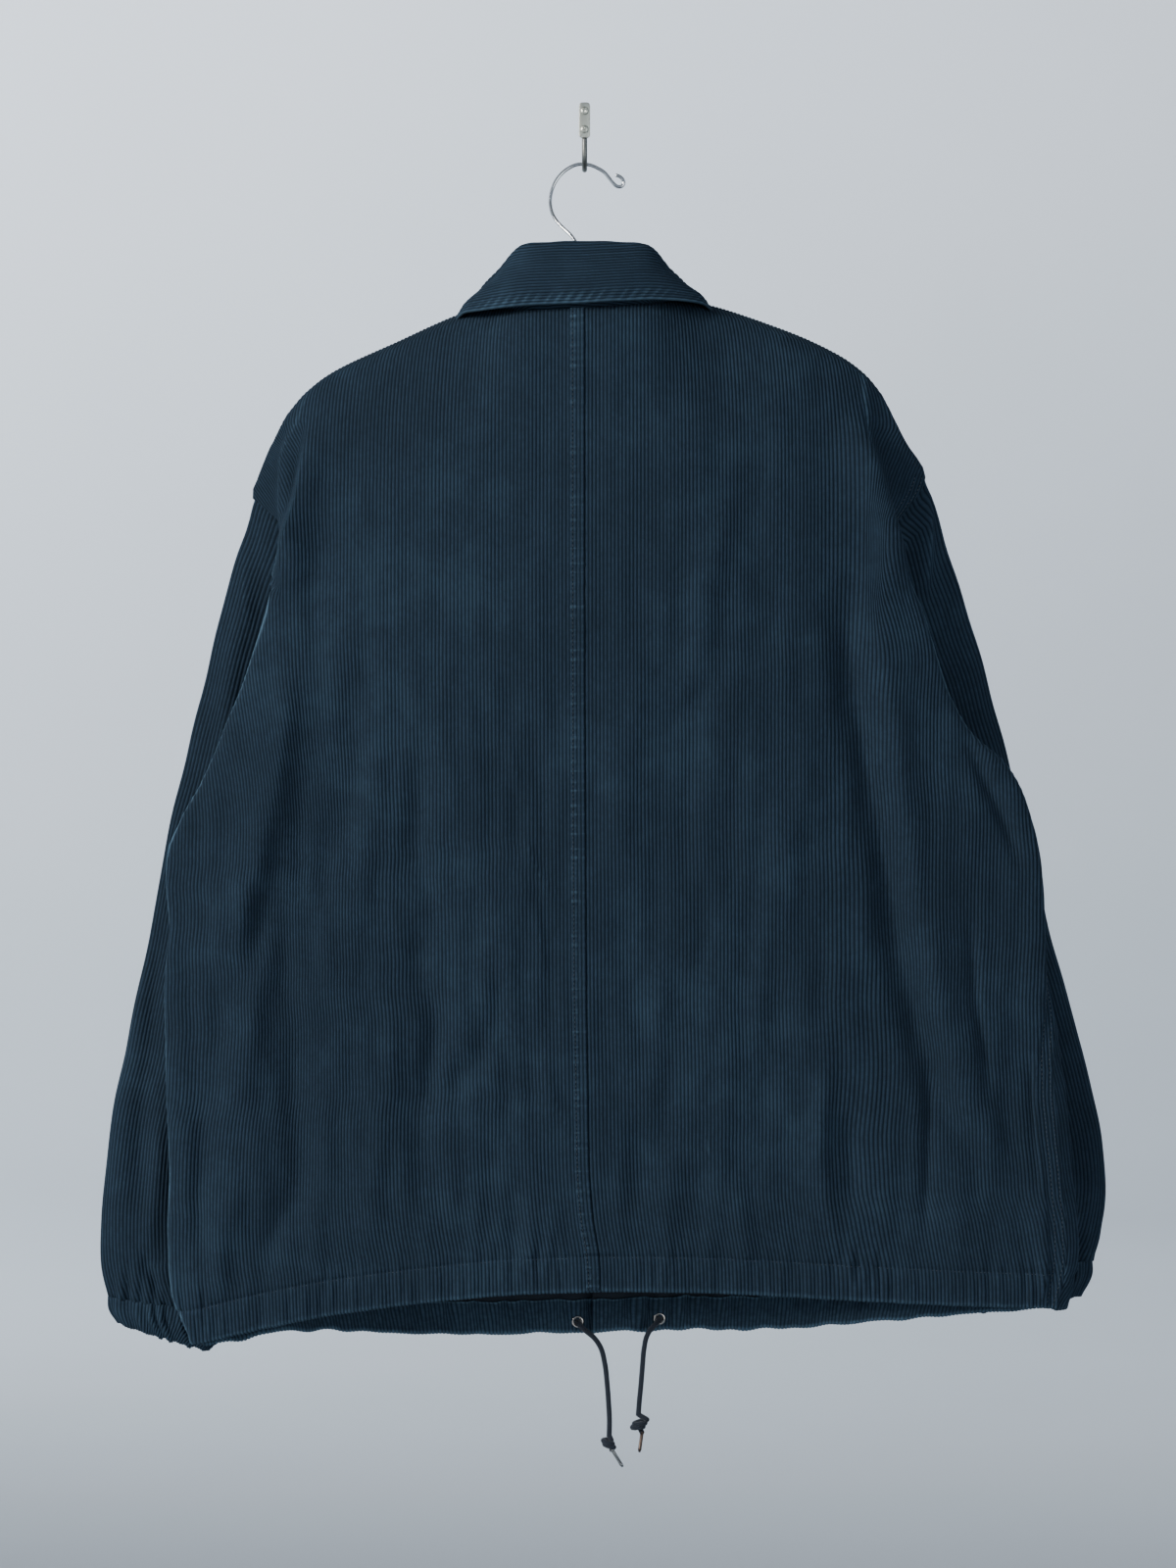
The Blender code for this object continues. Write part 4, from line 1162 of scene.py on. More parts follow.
def tube(name: str, route: Any, radius: Any, rings: int, sides: int) -> tuple[Any, Numbers]:
    """A closed round tube on a smooth curve through a route.

    Args:
        name: The mesh's name.
        route: Points as (x, y, drop).
        radius: One radius, or a function of rings' shares and angles.
        rings: Number of rings.
        sides: Number of sides.

    Returns:
        The mesh and the centreline.
    """
    shares = np.linspace(0, 1, rings)
    line = along(route, shares)
    normal = np.cross(unit(np.gradient(line, axis=0))[0], (0.31, 0.9, 0.2))
    frames = []
    for ahead in unit(np.gradient(line, axis=0)):
        normal = unit(normal - (normal @ ahead) * ahead)
        frames.append((normal, np.cross(ahead, normal)))
    turn = np.linspace(0, 2 * math.pi, sides + 1)
    width = radius(shares[:, None], turn[None]) if callable(radius) else np.full((rings, sides + 1), radius)
    one, two = (np.array([frame[k] for frame in frames])[:, None] for k in (0, 1))
    around = one * np.cos(turn)[None, :, None] + two * np.sin(turn)[None, :, None]
    grid = line[:, None] + width[..., None] * around
    grid[:, -1] = grid[:, 0]
    ends = [np.repeat(line[k][None], sides + 1, axis=0)[None] for k in (0, -1)]
    grid = np.concatenate([ends[0], grid, ends[1]])
    length = np.pad(reached(line), 1, mode="edge")
    turns = np.broadcast_to(turn[None], grid.shape[:2])
    data = np.stack([turns, np.broadcast_to(length[:, None], turns.shape) * MM, 0 * turns], axis=2)
    return skin(name, grid, data, np.zeros(sides, bool)), line


def turned(name: str, profile: Any, sides: int, place: Any, axis: Any) -> Any:
    """A turned solid.

    Args:
        name: The mesh's name.
        profile: (radius, height) places in mm, closed if it ends where it starts.
        sides: Number of steps round.
        place: Where its base is, as (x, y, drop).
        axis: Which way its height points, as (x, y, z).

    Returns:
        The mesh.
    """
    shape = bmesh.new()
    corners = [shape.verts.new((r * MM, 0, h * MM)) for r, h in profile]
    edges = [shape.edges.new(pair) for pair in zip(corners, corners[1:])]
    bmesh.ops.spin(
        shape, geom=corners + edges, cent=(0, 0, 0), axis=(0, 0, 1), angle=2 * math.pi,
        steps=sides, use_merge=True, use_duplicate=False,
    )
    bmesh.ops.remove_doubles(shape, verts=shape.verts, dist=1e-6)
    bmesh.ops.recalc_face_normals(shape, faces=shape.faces)
    turn = Vector(axis).to_track_quat("Z", "Y").to_matrix().to_4x4()
    move = Matrix.Translation(Vector(in_metres(place)))
    bmesh.ops.transform(shape, matrix=move @ turn, verts=shape.verts)
    return finished(shape, name)


# ---------------------------------------------------------------- materials


class Value:
    """A number in a node tree, with Python's operators."""

    def __init__(self, nodes: Nodes, socket: Any) -> None:
        """Wraps a socket."""
        self.nodes, self.socket = nodes, socket

    def _math(self, operation: str, *others: Any) -> Value:
        """A Math node on these values."""
        made = self.nodes.add("ShaderNodeMath", {"operation": operation}, dict(enumerate(others)))
        return Value(self.nodes, made.outputs[0])

    def __add__(self, other: Any) -> Value:
        """self + other."""
        return self._math("ADD", self, other)

    def __radd__(self, other: Any) -> Value:
        """other + self."""
        return self._math("ADD", other, self)

    def __sub__(self, other: Any) -> Value:
        """self - other."""
        return self._math("SUBTRACT", self, other)

    def __rsub__(self, other: Any) -> Value:
        """other - self."""
        return self._math("SUBTRACT", other, self)

    def __mul__(self, other: Any) -> Value:
        """self * other."""
        return self._math("MULTIPLY", self, other)

    def __rmul__(self, other: Any) -> Value:
        """other * self."""
        return self._math("MULTIPLY", other, self)

    def __truediv__(self, other: Any) -> Value:
        """self / other."""
        return self._math("DIVIDE", self, other)

    def __pow__(self, other: Any) -> Value:
        """self to a power."""
        return self._math("POWER", self, other)

    def sine(self) -> Value:
        """Its sine."""
        return self._math("SINE", self)

    def size(self) -> Value:
        """Its absolute value."""
        return self._math("ABSOLUTE", self)

    def floor(self) -> Value:
        """Its whole part."""
        return self._math("FLOOR", self)

    def fraction(self) -> Value:
        """What is left past its whole part."""
        return self._math("FRACT", self)

    def between(self, low: float, high: float) -> Value:
        """0 at low, 1 at high, eased and clamped.

        Args:
            low: Where the rise starts.
            high: Where it ends.

        Returns:
            The eased value.
        """
        made = self.nodes.add(
            "ShaderNodeMapRange",
            {"interpolation_type": "SMOOTHSTEP"},
            {0: self, 1: low, 2: high, 3: 0.0, 4: 1.0},
        )
        return Value(self.nodes, made.outputs[0])


class Nodes:
    """A material's node tree while it is made."""

    def __init__(self, name: str) -> None:
        """Starts a material with an empty shader.

        Args:
            name: The material's name.
        """
        self.made = bpy.data.materials.new(f"{name} finish")
        self.made.use_nodes = True
        self.tree = self.made.node_tree
        self.shader = self.tree.nodes["Principled BSDF"]

    def add(self, kind: str, settings: dict[str, Any], inputs: dict[Any, Any]) -> Any:
        """Adds a node.

        Args:
            kind: The node's type.
            settings: Its properties, set first.
            inputs: Values or links by socket name or number.

        Returns:
            The node.
        """
        node = self.tree.nodes.new(kind)
        for key, value in settings.items():
            setattr(node, key, value)
        for key, value in inputs.items():
            self.feed(node.inputs[key], value)
        return node

    def feed(self, socket: Any, value: Any) -> None:
        """Links or sets a socket.

        Args:
            socket: The socket.
            value: A node's output, or what to set.
        """
        if isinstance(value, Value):
            value = value.socket
        if isinstance(value, bpy.types.NodeSocket):
            self.tree.links.new(value, socket)
        else:
            socket.default_value = value

    def cloth(self) -> tuple[Value, Value, Value]:
        """Places across and along the wales in metres, and wear with painted light."""
        data = self.add("ShaderNodeAttribute", {"attribute_name": CLOTH_DATA}, {})
        split = self.add("ShaderNodeSeparateXYZ", {}, {0: data.outputs["Vector"]})
        return tuple(Value(self, socket) for socket in split.outputs)

    def place(self) -> Any:
        """Object coordinates."""
        return self.add("ShaderNodeTexCoord", {}, {}).outputs["Object"]

    def vector(self, x: Any, y: Any, z: Any) -> Any:
        """A vector of three numbers."""
        return self.add("ShaderNodeCombineXYZ", {}, {0: x, 1: y, 2: z}).outputs[0]

    def noise(self, where: Any, scale: float, detail: float = 3.0, roughness: float = 0.5) -> Value:
        """A soft random value from 0 to 1.

        Args:
            where: The place it is read at.
            scale: How fine it is.
            detail: Number of finer layers.
            roughness: How strong those are.

        Returns:
            The value.
        """
        made = self.add(
            "ShaderNodeTexNoise",
            {},
            {"Vector": where, "Scale": scale, "Detail": detail, "Roughness": roughness},
        )
        return Value(self, made.outputs[0])

    def mix(self, share: Any, first: Any, second: Any) -> Any:
        """A colour between two, by share."""
        settings = {"data_type": "RGBA", "clamp_factor": True}
        return self.add("ShaderNodeMix", settings, {0: share, 6: first, 7: second}).outputs[2]

    def bumped(self, height: Value, strength: float, distance: float) -> None:
        """Feeds the shader's normal from a height.

        Args:
            height: The height.
            strength: How much of it shows.
            distance: Its depth in metres.
        """
        values = {"Height": height, "Strength": strength, "Distance": distance}
        made = self.add("ShaderNodeBump", {}, values)
        self.feed(self.shader.inputs["Normal"], made.outputs[0])

    def surface(self, **sockets: Any) -> None:
        """Sets the shader's sockets; an underscore in a name stands for a space."""
        for key, value in sockets.items():
            self.feed(self.shader.inputs[key.replace("_", " ")], value)


def rgba(colour: Triple) -> tuple[float, ...]:
    """A colour with full alpha."""
    return (*colour, 1.0)


class Finish:
    """A finish that makes its material on first use."""

    name: str

    def material(self) -> Any:
        """The finish's material."""
        return bpy.data.materials.get(f"{self.name} finish") or self.make()

    def make(self) -> Any:
        """Makes the material."""
        raise NotImplementedError


@dataclass(frozen=True)
class Corduroy(Finish):
    """Cotton corduroy: grooves painted dark as painted shade, rubbed wales, worn where it folds and painted
    lighter along some crests as painted highlight.
    """

    name: str = "corduroy"
    # near black: painted shade in the grooves between the wales
    groove_shade: Triple = (0.0076, 0.0128, 0.0188)
    wale: Triple = (0.0262, 0.0458, 0.0725)
    # the lighter colour mixed in by the wear channel: rubbed cloth, and painted highlight and painted light
    worn_and_lit: Triple = (0.092, 0.165, 0.230)
    dust: Triple = (0.030, 0.056, 0.082)

    def make(self) -> Any:
        """Makes the material."""
        nodes = Nodes(self.name)
        across, down, wear_and_light = nodes.cloth()
        place = nodes.place()
        turn = across * (1 / (PITCH * MM))
        wale = (turn * math.pi).sine().size()
        number = turn.floor()
        nap = nodes.noise(nodes.vector(number * 7.31, down * 260.0, number * 1.7), 1.0, 3.0, 0.6)
        grain = nodes.noise(place, 1500.0, 2.0, 0.6)
        cloud = nodes.noise(place, 9.0, 4.0, 0.6)
        patch = nodes.noise(place, 42.0, 3.0, 0.6)
        fine = nodes.noise(nodes.vector(across * 900.0, down * 160.0, 0.0), 1.0, 3.0, 0.65)
        # dark in the grooves and light on the wales' tops: painted shade in the grooves
        top = (wale ** 1.2) * (0.45 + 0.85 * nap) * (0.6 + 0.75 * grain)
        top = top * (0.55 + 0.8 * cloud) * (0.7 + 0.6 * patch)
        colour = nodes.mix(top, rgba(self.groove_shade), rgba(self.wale))
        rubbed = wale * (patch * cloud).between(0.22, 0.46) * (0.3 + 0.7 * fine) * 0.7
        colour = nodes.mix(rubbed, colour, rgba(self.dust))
        # lighter where the wear channel says: real wear, and painted highlight and painted light
        edge = (wear_and_light * (0.55 + 0.9 * nap) - 0.12).between(0.0, 1.0) * (0.35 + 0.65 * wale)
        colour = nodes.mix(edge, colour, rgba(self.worn_and_lit))
        nodes.surface(
            Base_Color=colour, Roughness=0.78 + 0.16 * nap, Sheen_Weight=0.03, Sheen_Roughness=0.5,
            Sheen_Tint=rgba((0.45, 0.65, 0.85)), Specular_IOR_Level=0.04,
        )
        nodes.bumped(0.6 * nap + 0.7 * grain + 0.5 * fine, 0.55, 0.0005)
        return nodes.made


@dataclass(frozen=True)
class Twill(Finish):
    """The corduroy's smooth inner face."""

    name: str = "twill_inside"
    dark: Triple = (0.0045, 0.0085, 0.0150)
    light: Triple = (0.012, 0.022, 0.036)

    def make(self) -> Any:
        """Makes the material."""
        nodes = Nodes(self.name)
        across, down, _ = nodes.cloth()
        line = ((across * 1250.0 + down * 900.0).fraction() * math.pi).sine()
        yarn = nodes.noise(nodes.place(), 900.0, 2.0)
        cloud = nodes.noise(nodes.place(), 12.0, 3.0)
        share = line * (0.35 + 0.6 * yarn) * (0.6 + 0.7 * cloud)
        colour = nodes.mix(share, rgba(self.dark), rgba(self.light))
        nodes.surface(Base_Color=colour, Roughness=0.8 + 0.15 * yarn, Sheen_Weight=0.15)
        nodes.bumped(line + yarn, 0.35, 0.0002)
        return nodes.made


@dataclass(frozen=True)
class Thread(Finish):
    """Topstitching thread."""

    name: str = "thread"
    dark: Triple = (0.008, 0.015, 0.024)
    light: Triple = (0.036, 0.058, 0.082)

    def make(self) -> Any:
        """Makes the material."""
        nodes = Nodes(self.name)
        mottle = nodes.noise(nodes.place(), 700.0, 2.0)
        colour = nodes.mix(mottle.between(0.3, 0.7), rgba(self.dark), rgba(self.light))
        nodes.surface(Base_Color=colour, Roughness=0.6 + 0.2 * mottle, Sheen_Weight=0.1)
        nodes.bumped(mottle, 0.3, 0.0002)
        return nodes.made


@dataclass(frozen=True)
class Braid(Finish):
    """Round braided cotton cord."""

    name: str = "cord"
    dark: Triple = (0.0035, 0.0060, 0.0125)
    light: Triple = (0.013, 0.024, 0.044)
    strand: float = 2.6

    def make(self) -> Any:
        """Makes the material."""
        nodes = Nodes(self.name)
        around, length, _ = nodes.cloth()
        turn, rise = around * (4 / math.pi), length * (1000 / self.strand)
        one = ((turn + rise) * math.pi).sine().size()
        two = ((turn - rise) * math.pi).sine().size()
        fuzz = nodes.noise(nodes.place(), 1400.0, 3.0, 0.6)
        colour = nodes.mix(one * two * (0.4 + 0.9 * fuzz), rgba(self.dark), rgba(self.light))
        nodes.surface(Base_Color=colour, Roughness=0.8 + 0.15 * fuzz, Sheen_Weight=0.12)
        nodes.bumped(one * two + 0.5 * fuzz, 0.7, 0.0004)
        return nodes.made


@dataclass(frozen=True)
class Metal(Finish):
    """A metal with smudges and, where it is old, spots.

    Attributes:
        name: The material's name.
        colour: The clean metal.
        stain: The colour of its spots.
        rough: Roughness from cleanest to dullest.
        spots: How much of it is spotted.
        grain: Height of its bump in mm.
    """

    name: str
    colour: Triple
    stain: Triple
    rough: tuple[float, float]
    spots: float = 0.0
    grain: float = 0.02

    def make(self) -> Any:
        """Makes the material."""
        nodes = Nodes(self.name)
        place = nodes.place()
        smudge = nodes.noise(place, 120.0, 3.0)
        fine = nodes.noise(place, 1600.0, 3.0, 0.6)
        low, high = 0.72 - 0.3 * self.spots, 0.80 - 0.2 * self.spots
        spot = nodes.noise(place, 380.0, 4.0, 0.65).between(low, high)
        colour = nodes.mix(spot * (0.15 + 0.85 * self.spots), rgba(self.colour), rgba(self.stain))
        low, high = self.rough
        nodes.surface(
            Base_Color=colour, Metallic=1.0 - 0.5 * self.spots * spot,
            Roughness=low + (high - low) * smudge + 0.25 * spot * self.spots,
        )
        nodes.bumped(fine + 0.6 * spot, 0.4, self.grain * MM)
        return nodes.made


@dataclass(frozen=True)
class Plastic(Finish):
    """A moulded or painted surface.

    Attributes:
        name: The material's name.
        colour: Its colour.
        scuff: The colour of its scuffs.
        rough: Its usual roughness.
    """

    name: str
    colour: Triple
    scuff: Triple
    rough: float

    def make(self) -> Any:
        """Makes the material."""
        nodes = Nodes(self.name)
        place = nodes.place()
        cloud = nodes.noise(place, 60.0, 4.0, 0.6)
        grain = nodes.noise(place, 2200.0, 2.0)
        colour = nodes.mix(cloud.between(0.55, 0.8) * 0.5, rgba(self.colour), rgba(self.scuff))
        nodes.surface(Base_Color=colour, Roughness=self.rough + 0.2 * cloud, Coat_Weight=0.08)
        nodes.bumped(grain, 0.25, 0.0001)
        return nodes.made


@dataclass(frozen=True)
class PaintedShadePaper(Finish):
    """The studio's pale seamless backdrop, painted darker towards the bottom and the right as painted
    shade.
    """

    name: str = "backdrop"
    colour: Triple = (0.66, 0.70, 0.76)
    # the darker colour towards the bottom and the right: painted shade
    low: Triple = (0.36, 0.40, 0.44)

    def make(self) -> Any:
        """Makes the material."""
        nodes = Nodes(self.name)
        place = nodes.place()
        soft = nodes.noise(place, 1.4, 3.0)
        x, _, z = (Value(nodes, o) for o in nodes.add("ShaderNodeSeparateXYZ", {}, {0: place}).outputs)
        # painted shade: darker towards the bottom and the right
        low = (z - 0.16 * x).between(2.4, -1.6)
        colour = nodes.mix(0.12 * soft + 0.88 * low, rgba(self.colour), rgba(self.low))
        nodes.surface(Base_Color=colour, Roughness=0.95, Specular_IOR_Level=0.1)
        return nodes.made


CORDUROY = Corduroy()
TWILL = Twill()
THREAD = Thread()
BRAID = Braid()
CHROME = Metal("chrome_wire", (0.72, 0.73, 0.74), (0.30, 0.31, 0.32), (0.08, 0.22), 0.1)
NICKEL = Metal("nickel", (0.60, 0.57, 0.53), (0.25, 0.23, 0.20), (0.18, 0.34), 0.25)
BRONZE = Metal("bronze_tip", (0.085, 0.062, 0.050), (0.03, 0.024, 0.02), (0.25, 0.45), 0.3)
SILVER = Metal("silver_tip", (0.30, 0.30, 0.295), (0.09, 0.085, 0.08), (0.14, 0.30), 0.2)
ZINC = Metal("zinc_hook", (0.62, 0.64, 0.56), (0.30, 0.31, 0.26), (0.34, 0.55), 0.45, 0.06)
ROD = Metal("zinc_rod", (0.20, 0.205, 0.19), (0.10, 0.10, 0.09), (0.34, 0.5), 0.3, 0.05)
SNAP = Plastic("snap_cap", (0.012, 0.022, 0.036), (0.05, 0.07, 0.09), 0.3)
HANGER = Plastic("hanger_bar", (0.018, 0.018, 0.020), (0.05, 0.05, 0.052), 0.4)


# ---------------------------------------------------------------- stitches


@dataclass
class Stitching:
    """Rows of topstitching, gathered into one piece.

    Attributes:
        name: The piece's name.
        pitch: From stitch to stitch.
        length: A stitch's length.
        width: A stitch's width.
    """

    name: str
    pitch: float = 3.3
    length: float = 2.1
    width: float = 0.62
    stitches: list[tuple[Numbers, Numbers, Numbers]] = field(default_factory=list)

    def row(self, line: Numbers, normals: Numbers, sink: float = 0.1) -> None:
        """Adds a row of stitches along a line.

        Args:
            line: Points as (x, y, drop).
            normals: The cloth's normals at them.
            sink: How far the stitches sink into the cloth.
        """
        far = reached(line)
        for at in np.arange(self.pitch / 2, far[-1] - self.pitch / 2, self.pitch):
            start, end = (
                np.array([np.interp(at + d, far, line[:, k]) for k in range(3)])
                for d in (-self.length / 2, self.length / 2)
            )
            normal = np.array([np.interp(at, far, normals[:, k]) for k in range(3)])
            self.stitches.append(((start + end) / 2 - normal * sink, end - start, normal))

    def build(self) -> Any:
        """Makes the piece.

        Returns:
            The object.
        """
        shape = bmesh.new()
        flip = np.array((1, 1, -1.0))
        size = Matrix.Diagonal((*(MM * s for s in (self.length / 2, self.width / 2, self.width * 0.4)), 1))
        for middle, way, normal in self.stitches:
            ahead, up = Vector(way * flip).normalized(), Vector(normal * flip).normalized()
            beside = up.cross(ahead).normalized()
            up = ahead.cross(beside)
            turn = Matrix((ahead, beside, up)).transposed().to_4x4()
            place = Matrix.Translation(Vector(in_metres(middle)))
            bmesh.ops.create_icosphere(shape, subdivisions=1, radius=1, matrix=place @ turn @ size)
        piece = add_piece(self.name, finished(shape, self.name), [THREAD], "corduroy")
        LOG.info("%s: %d stitches", self.name, len(self.stitches))
        return piece


# ---------------------------------------------------------------- the jacket


def sew(
    name: str, sheet: Sheet, cut: Cut, held: str, rests_on: Sequence[str], *replaced: str, **wall: float
) -> Any:
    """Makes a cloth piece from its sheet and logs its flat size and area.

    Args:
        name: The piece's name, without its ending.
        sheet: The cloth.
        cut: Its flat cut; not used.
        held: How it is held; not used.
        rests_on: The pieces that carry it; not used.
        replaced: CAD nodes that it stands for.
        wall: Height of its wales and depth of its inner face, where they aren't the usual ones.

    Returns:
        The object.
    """
    lining = CORDUROY if name == "collar" else TWILL
    full_name = name if name.endswith("fell") else f"{name}_cloth"
    piece = add_piece(full_name, ribbed(name, sheet, **wall), [CORDUROY, lining], "corduroy", *replaced)
    down, across = np.gradient(sheet.points, axis=0), np.gradient(sheet.points, axis=1)
    area = np.linalg.norm(np.cross(down, across), axis=2)[1:, 1:].sum() * MM * MM
    width = reached(sheet.points.swapaxes(0, 1))[-1].max() * MM
    LOG.info("%s: flat %.4f x %.3f m, %.5f m2", name, width, reached(sheet.points)[-1].max() * MM, area)
    return piece


@dataclass
class Panel:
    """A body panel: a sheet that hangs from its seams and turns up inside at its hem.

    Attributes:
        side: The side it belongs to.
        columns: Columns of its middle.
        row_step: Distance between its rows.
        hem_zone: Height above the hem below which its rows are parallel with it.
        hem_rises: Heights above the hem of its lowest rows.
        casing_rises: Heights above the hem of the casing's rows.
        sheet: Its cloth.
        body_rows: Number of rows above the turned hem.
    """

    side: Side
    columns: int = 300
    row_step: float = 6.6
    hem_zone: float = 44.0
    hem_rises: tuple[float, ...] = (
        44, 39, 35, 32, 29.5, 27.6, 26.2, 25, 23.8, 22.2, 19.5, 16, 12.5, 9, 6, 3.6, 1.4,
    )
    casing_rises: tuple[float, ...] = (3, 6, 10, 14, 18, 21.5, 24, 25)
    sheet: Sheet = field(init=False)
    body_rows: int = field(init=False)

    def middle(self, net: Numbers) -> Numbers:
        """The panel's rows: even down to the hem zone, then parallel with the hem.

        Args:
            net: The rows of its net.

        Returns:
            The rows, one to each step down.
        """
        fine = dense(net, DENSE_ROWS, self.columns)
        far, length = reached(net).mean(axis=1), reached(fine)
        corner_row = len(TOP_BLENDS) + level_drops(self.side).index(self.side.armhole[0])
        corner = far[corner_row] / far[-1] * (len(fine) - 1)
        rows = int(length[-1].mean() / self.row_step)
        above = int(round(rows * corner / len(fine)))
        number = np.arange(len(fine), dtype=float)[::-1]
        at = []
        for rise in (length[-1] - length)[::-1].T:
            start = np.interp(self.hem_zone, rise, number)
            upper, lower = np.linspace(0, corner, above), np.linspace(corner, start, rows - above)
            at.append(np.concatenate([upper[:-1], lower[:-1], np.interp(self.hem_rises, rise, number)]))
        return down_to(fine, np.array(at).T)

    def row_at(self, rise: Any, rows: int) -> Any:
        """The place among the first rows that lies this high above the hem."""
        count = len(self.hem_rises)
        return np.interp(rise, self.hem_rises[::-1], np.arange(count)[::-1]) + rows - count

    def hem(self, reach: Numbers, waves: Numbers) -> None:
        """Turns the panel's edge up inside as the drawstring's casing, which narrows at the side.

        Args:
            reach: How far each column is from the first wale.
            waves: How far the casing's free edge lifts and dips in each column.
        """
        points, normals, half = self.sheet.points, self.sheet.normals(), PLY_GAP / 2
        self.body_rows = len(points)
        ahead, inward = unit(points[-1] - points[-3]), -normals[-1]
        rows = [
            points[-1] + ahead * half * math.sin(turn) + inward * half * (1 - math.cos(turn))
            for turn in (0.3 * math.pi, 0.5 * math.pi, 0.7 * math.pi, math.pi)
        ]
        share = 0.3 + 0.7 * smoothstep((reach[-1] - reach) / 30)
        top = self.casing_rises[-1]
        for rise in self.casing_rises:
            height = np.clip(rise * share + rise / top * waves, self.hem_rises[-1], self.hem_rises[0] - 1)
            at = self.row_at(height, len(points))[None]
            rows.append(down_to(points, at)[0] - down_to(normals, at)[0] * PLY_GAP)
        self.sheet.extend(rows)

    def level_line(self, rise: float) -> Line:
        """The outer face's line at a height above the hem, and its normals.

        Args:
            rise: The height.

        Returns:
            The line and its normals.
        """
        at = np.full((1, self.columns), self.row_at(rise, self.body_rows))
        normals = down_to(self.sheet.normals(), at)[0]
        return down_to(self.sheet.points, at)[0] + normals * (GROUND + WALE), normals

    def upright_line(self, distance: float, first_row: int = 0) -> Line:
        """The outer face's line at a distance from the first wale, or the last if it is below 0."""
        return self.sheet.line(distance, GROUND + WALE, first_row, self.body_rows)

    def sewn(self, part: str, cut: Cut) -> Any:
        """Makes the panel's piece, which is the named part of the jacket.

        Args:
            part: Its name up to its side.
            cut: Its flat size.

        Returns:
            The piece.
        """
        name = f"{part}_{self.side.name}"
        casing = f"{part}_casing_{self.side.name}"
        return sew(name, self.sheet, cut, "hung", ["hanger_shoulders"], name, casing)


@dataclass
class BackHalf(Panel):
    """One half of the back, with the fold at its side."""

    def build(self) -> Any:
        """Makes the piece.

        Returns:
            The object.
        """
        side = self.side
        self.sheet = sheet = Sheet(self.middle(back_net(side)), Facing.VIEWER)
        at = sheet.places()
        column = np.linspace(0, 7, self.columns)[None]
        shown = 1 - smoothstep((column - FOLD_COLUMN + 0.3) / 0.7)
        lift, crease_highlight_and_wear = crease_relief(side.back_creases, at.x, at.drop)
        sheet.lift(self.folds(at, lift, shown * smoothstep(at.reach / 24)) * smoothstep(at.length / 30))
        sheet.reach = sheet.wales()
        gather, seam = Ripples(31, 12, 4.0).at(at.x, at.drop), Ripples(51, 7.5).at(at.drop)
        sheet.lift(self.puckers(at, gather, seam))
        reach = sheet.wales()[-1]
        # the side fold's crest lighter: partly rubbed wear, partly painted highlight
        worn_and_lit = 1.5 * bump(column - FOLD_COLUMN, 0.2) * side_edge_wear_and_highlight(side, at.drop) + crease_highlight_and_wear * shown
        # the hem's edge is worn; the band just above it is painted lighter as painted light
        worn_and_lit = worn_and_lit + 0.35 * bump(at.rise, 2.2) + 0.10 * bump(at.rise - 10, 14)
        worn_and_lit = worn_and_lit + 0.09 * np.clip(gather, 0, 2) * bump(at.rise - CASING_HEIGHT, 11)
        worn_and_lit = worn_and_lit + 0.30 * bump(at.drop - 160, 16) * (0.5 + 0.5 * np.clip(seam, -1, 1))
        sheet.wear_and_light = np.clip(worn_and_lit, 0, 1)
        sheet.drift = wale_drift(side, at.x, at.drop)
        self.hem(reach, 0.8 * Ripples(61, 24).at(at.x[-1]))
        return self.sewn("back", BACK_CUTS[side.name])

    def folds(self, at: Places, creases: Numbers, loose: Numbers) -> Numbers:
        """How far the hanging cloth swells and sinks.

        Args:
            at: The cloth's places.
            creases: The creases' lift.
            loose: How free the cloth is to move.

        Returns:
            The lift.
        """
        slack = loose * (0.35 + 0.65 * smoothstep((at.drop - 300) / 260))
        broad = 0.8 * Ripples(11 + self.side.sign, 70, 2.0).at(at.x, at.drop)
        small = 0.36 * Ripples(21 + self.side.sign, 24, 3.0).at(at.x, at.drop)
        return 1.8 * creases * loose + (broad + small) * slack

    def puckers(self, at: Places, gather: Numbers, seam: Numbers) -> Numbers:
        """The relief of the gathered hem, the seams' grooves and the puckers beside them.

        Args:
            at: The cloth's places.
            gather: The pattern of the hem's gathers.
            seam: The pattern of the seams' puckers.

        Returns:
            The lift.
        """
        fine = Ripples(41, 7, 8.0).at(at.x, at.drop)
        pulled = np.clip(0.55 + 0.6 * Ripples(45, 90).at(at.x), 0.1, 1.4)
        height = (0.48 * gather + 0.25 * fine) * pulled * bump(at.rise - CASING_HEIGHT, 15)
        height = height - 1.1 * bump(at.rise - CASING_HEIGHT, 1.5) + 0.45 * bump(at.rise - 14, 8)
        height = height + 0.3 * fine * bump(at.rise - 8, 9)
        height = height - 0.6 * bump(at.reach, 0.9) + 0.2 * seam * bump(at.reach - 5, 6)
        if self.side is RIGHT:
            from_side = at.reach[:, -1:] - at.reach
            height = height + 0.34 * seam * bump(from_side - 6, 6) * smoothstep((at.drop - 640) / 60)
        return height


def side_edge_wear_and_highlight(side: Side, drop: Numbers) -> Numbers:
    """How much lighter a side fold's crest is painted, by its drop: partly rubbed wear, partly painted
    highlight.

    Args:
        side: Its side.
        drop: The drops.

    Returns:
        The wear and painted highlight from 0 to 1.
    """
    if side is LEFT:
        return 0.25 + 0.55 * smoothstep((drop - 300) / 70) * (1 - 0.7 * smoothstep((drop - 560) / 80))
    return (0.30 + 0.25 * smoothstep((drop - 360) / 60)) * (1 - smoothstep((drop - 580) / 80))


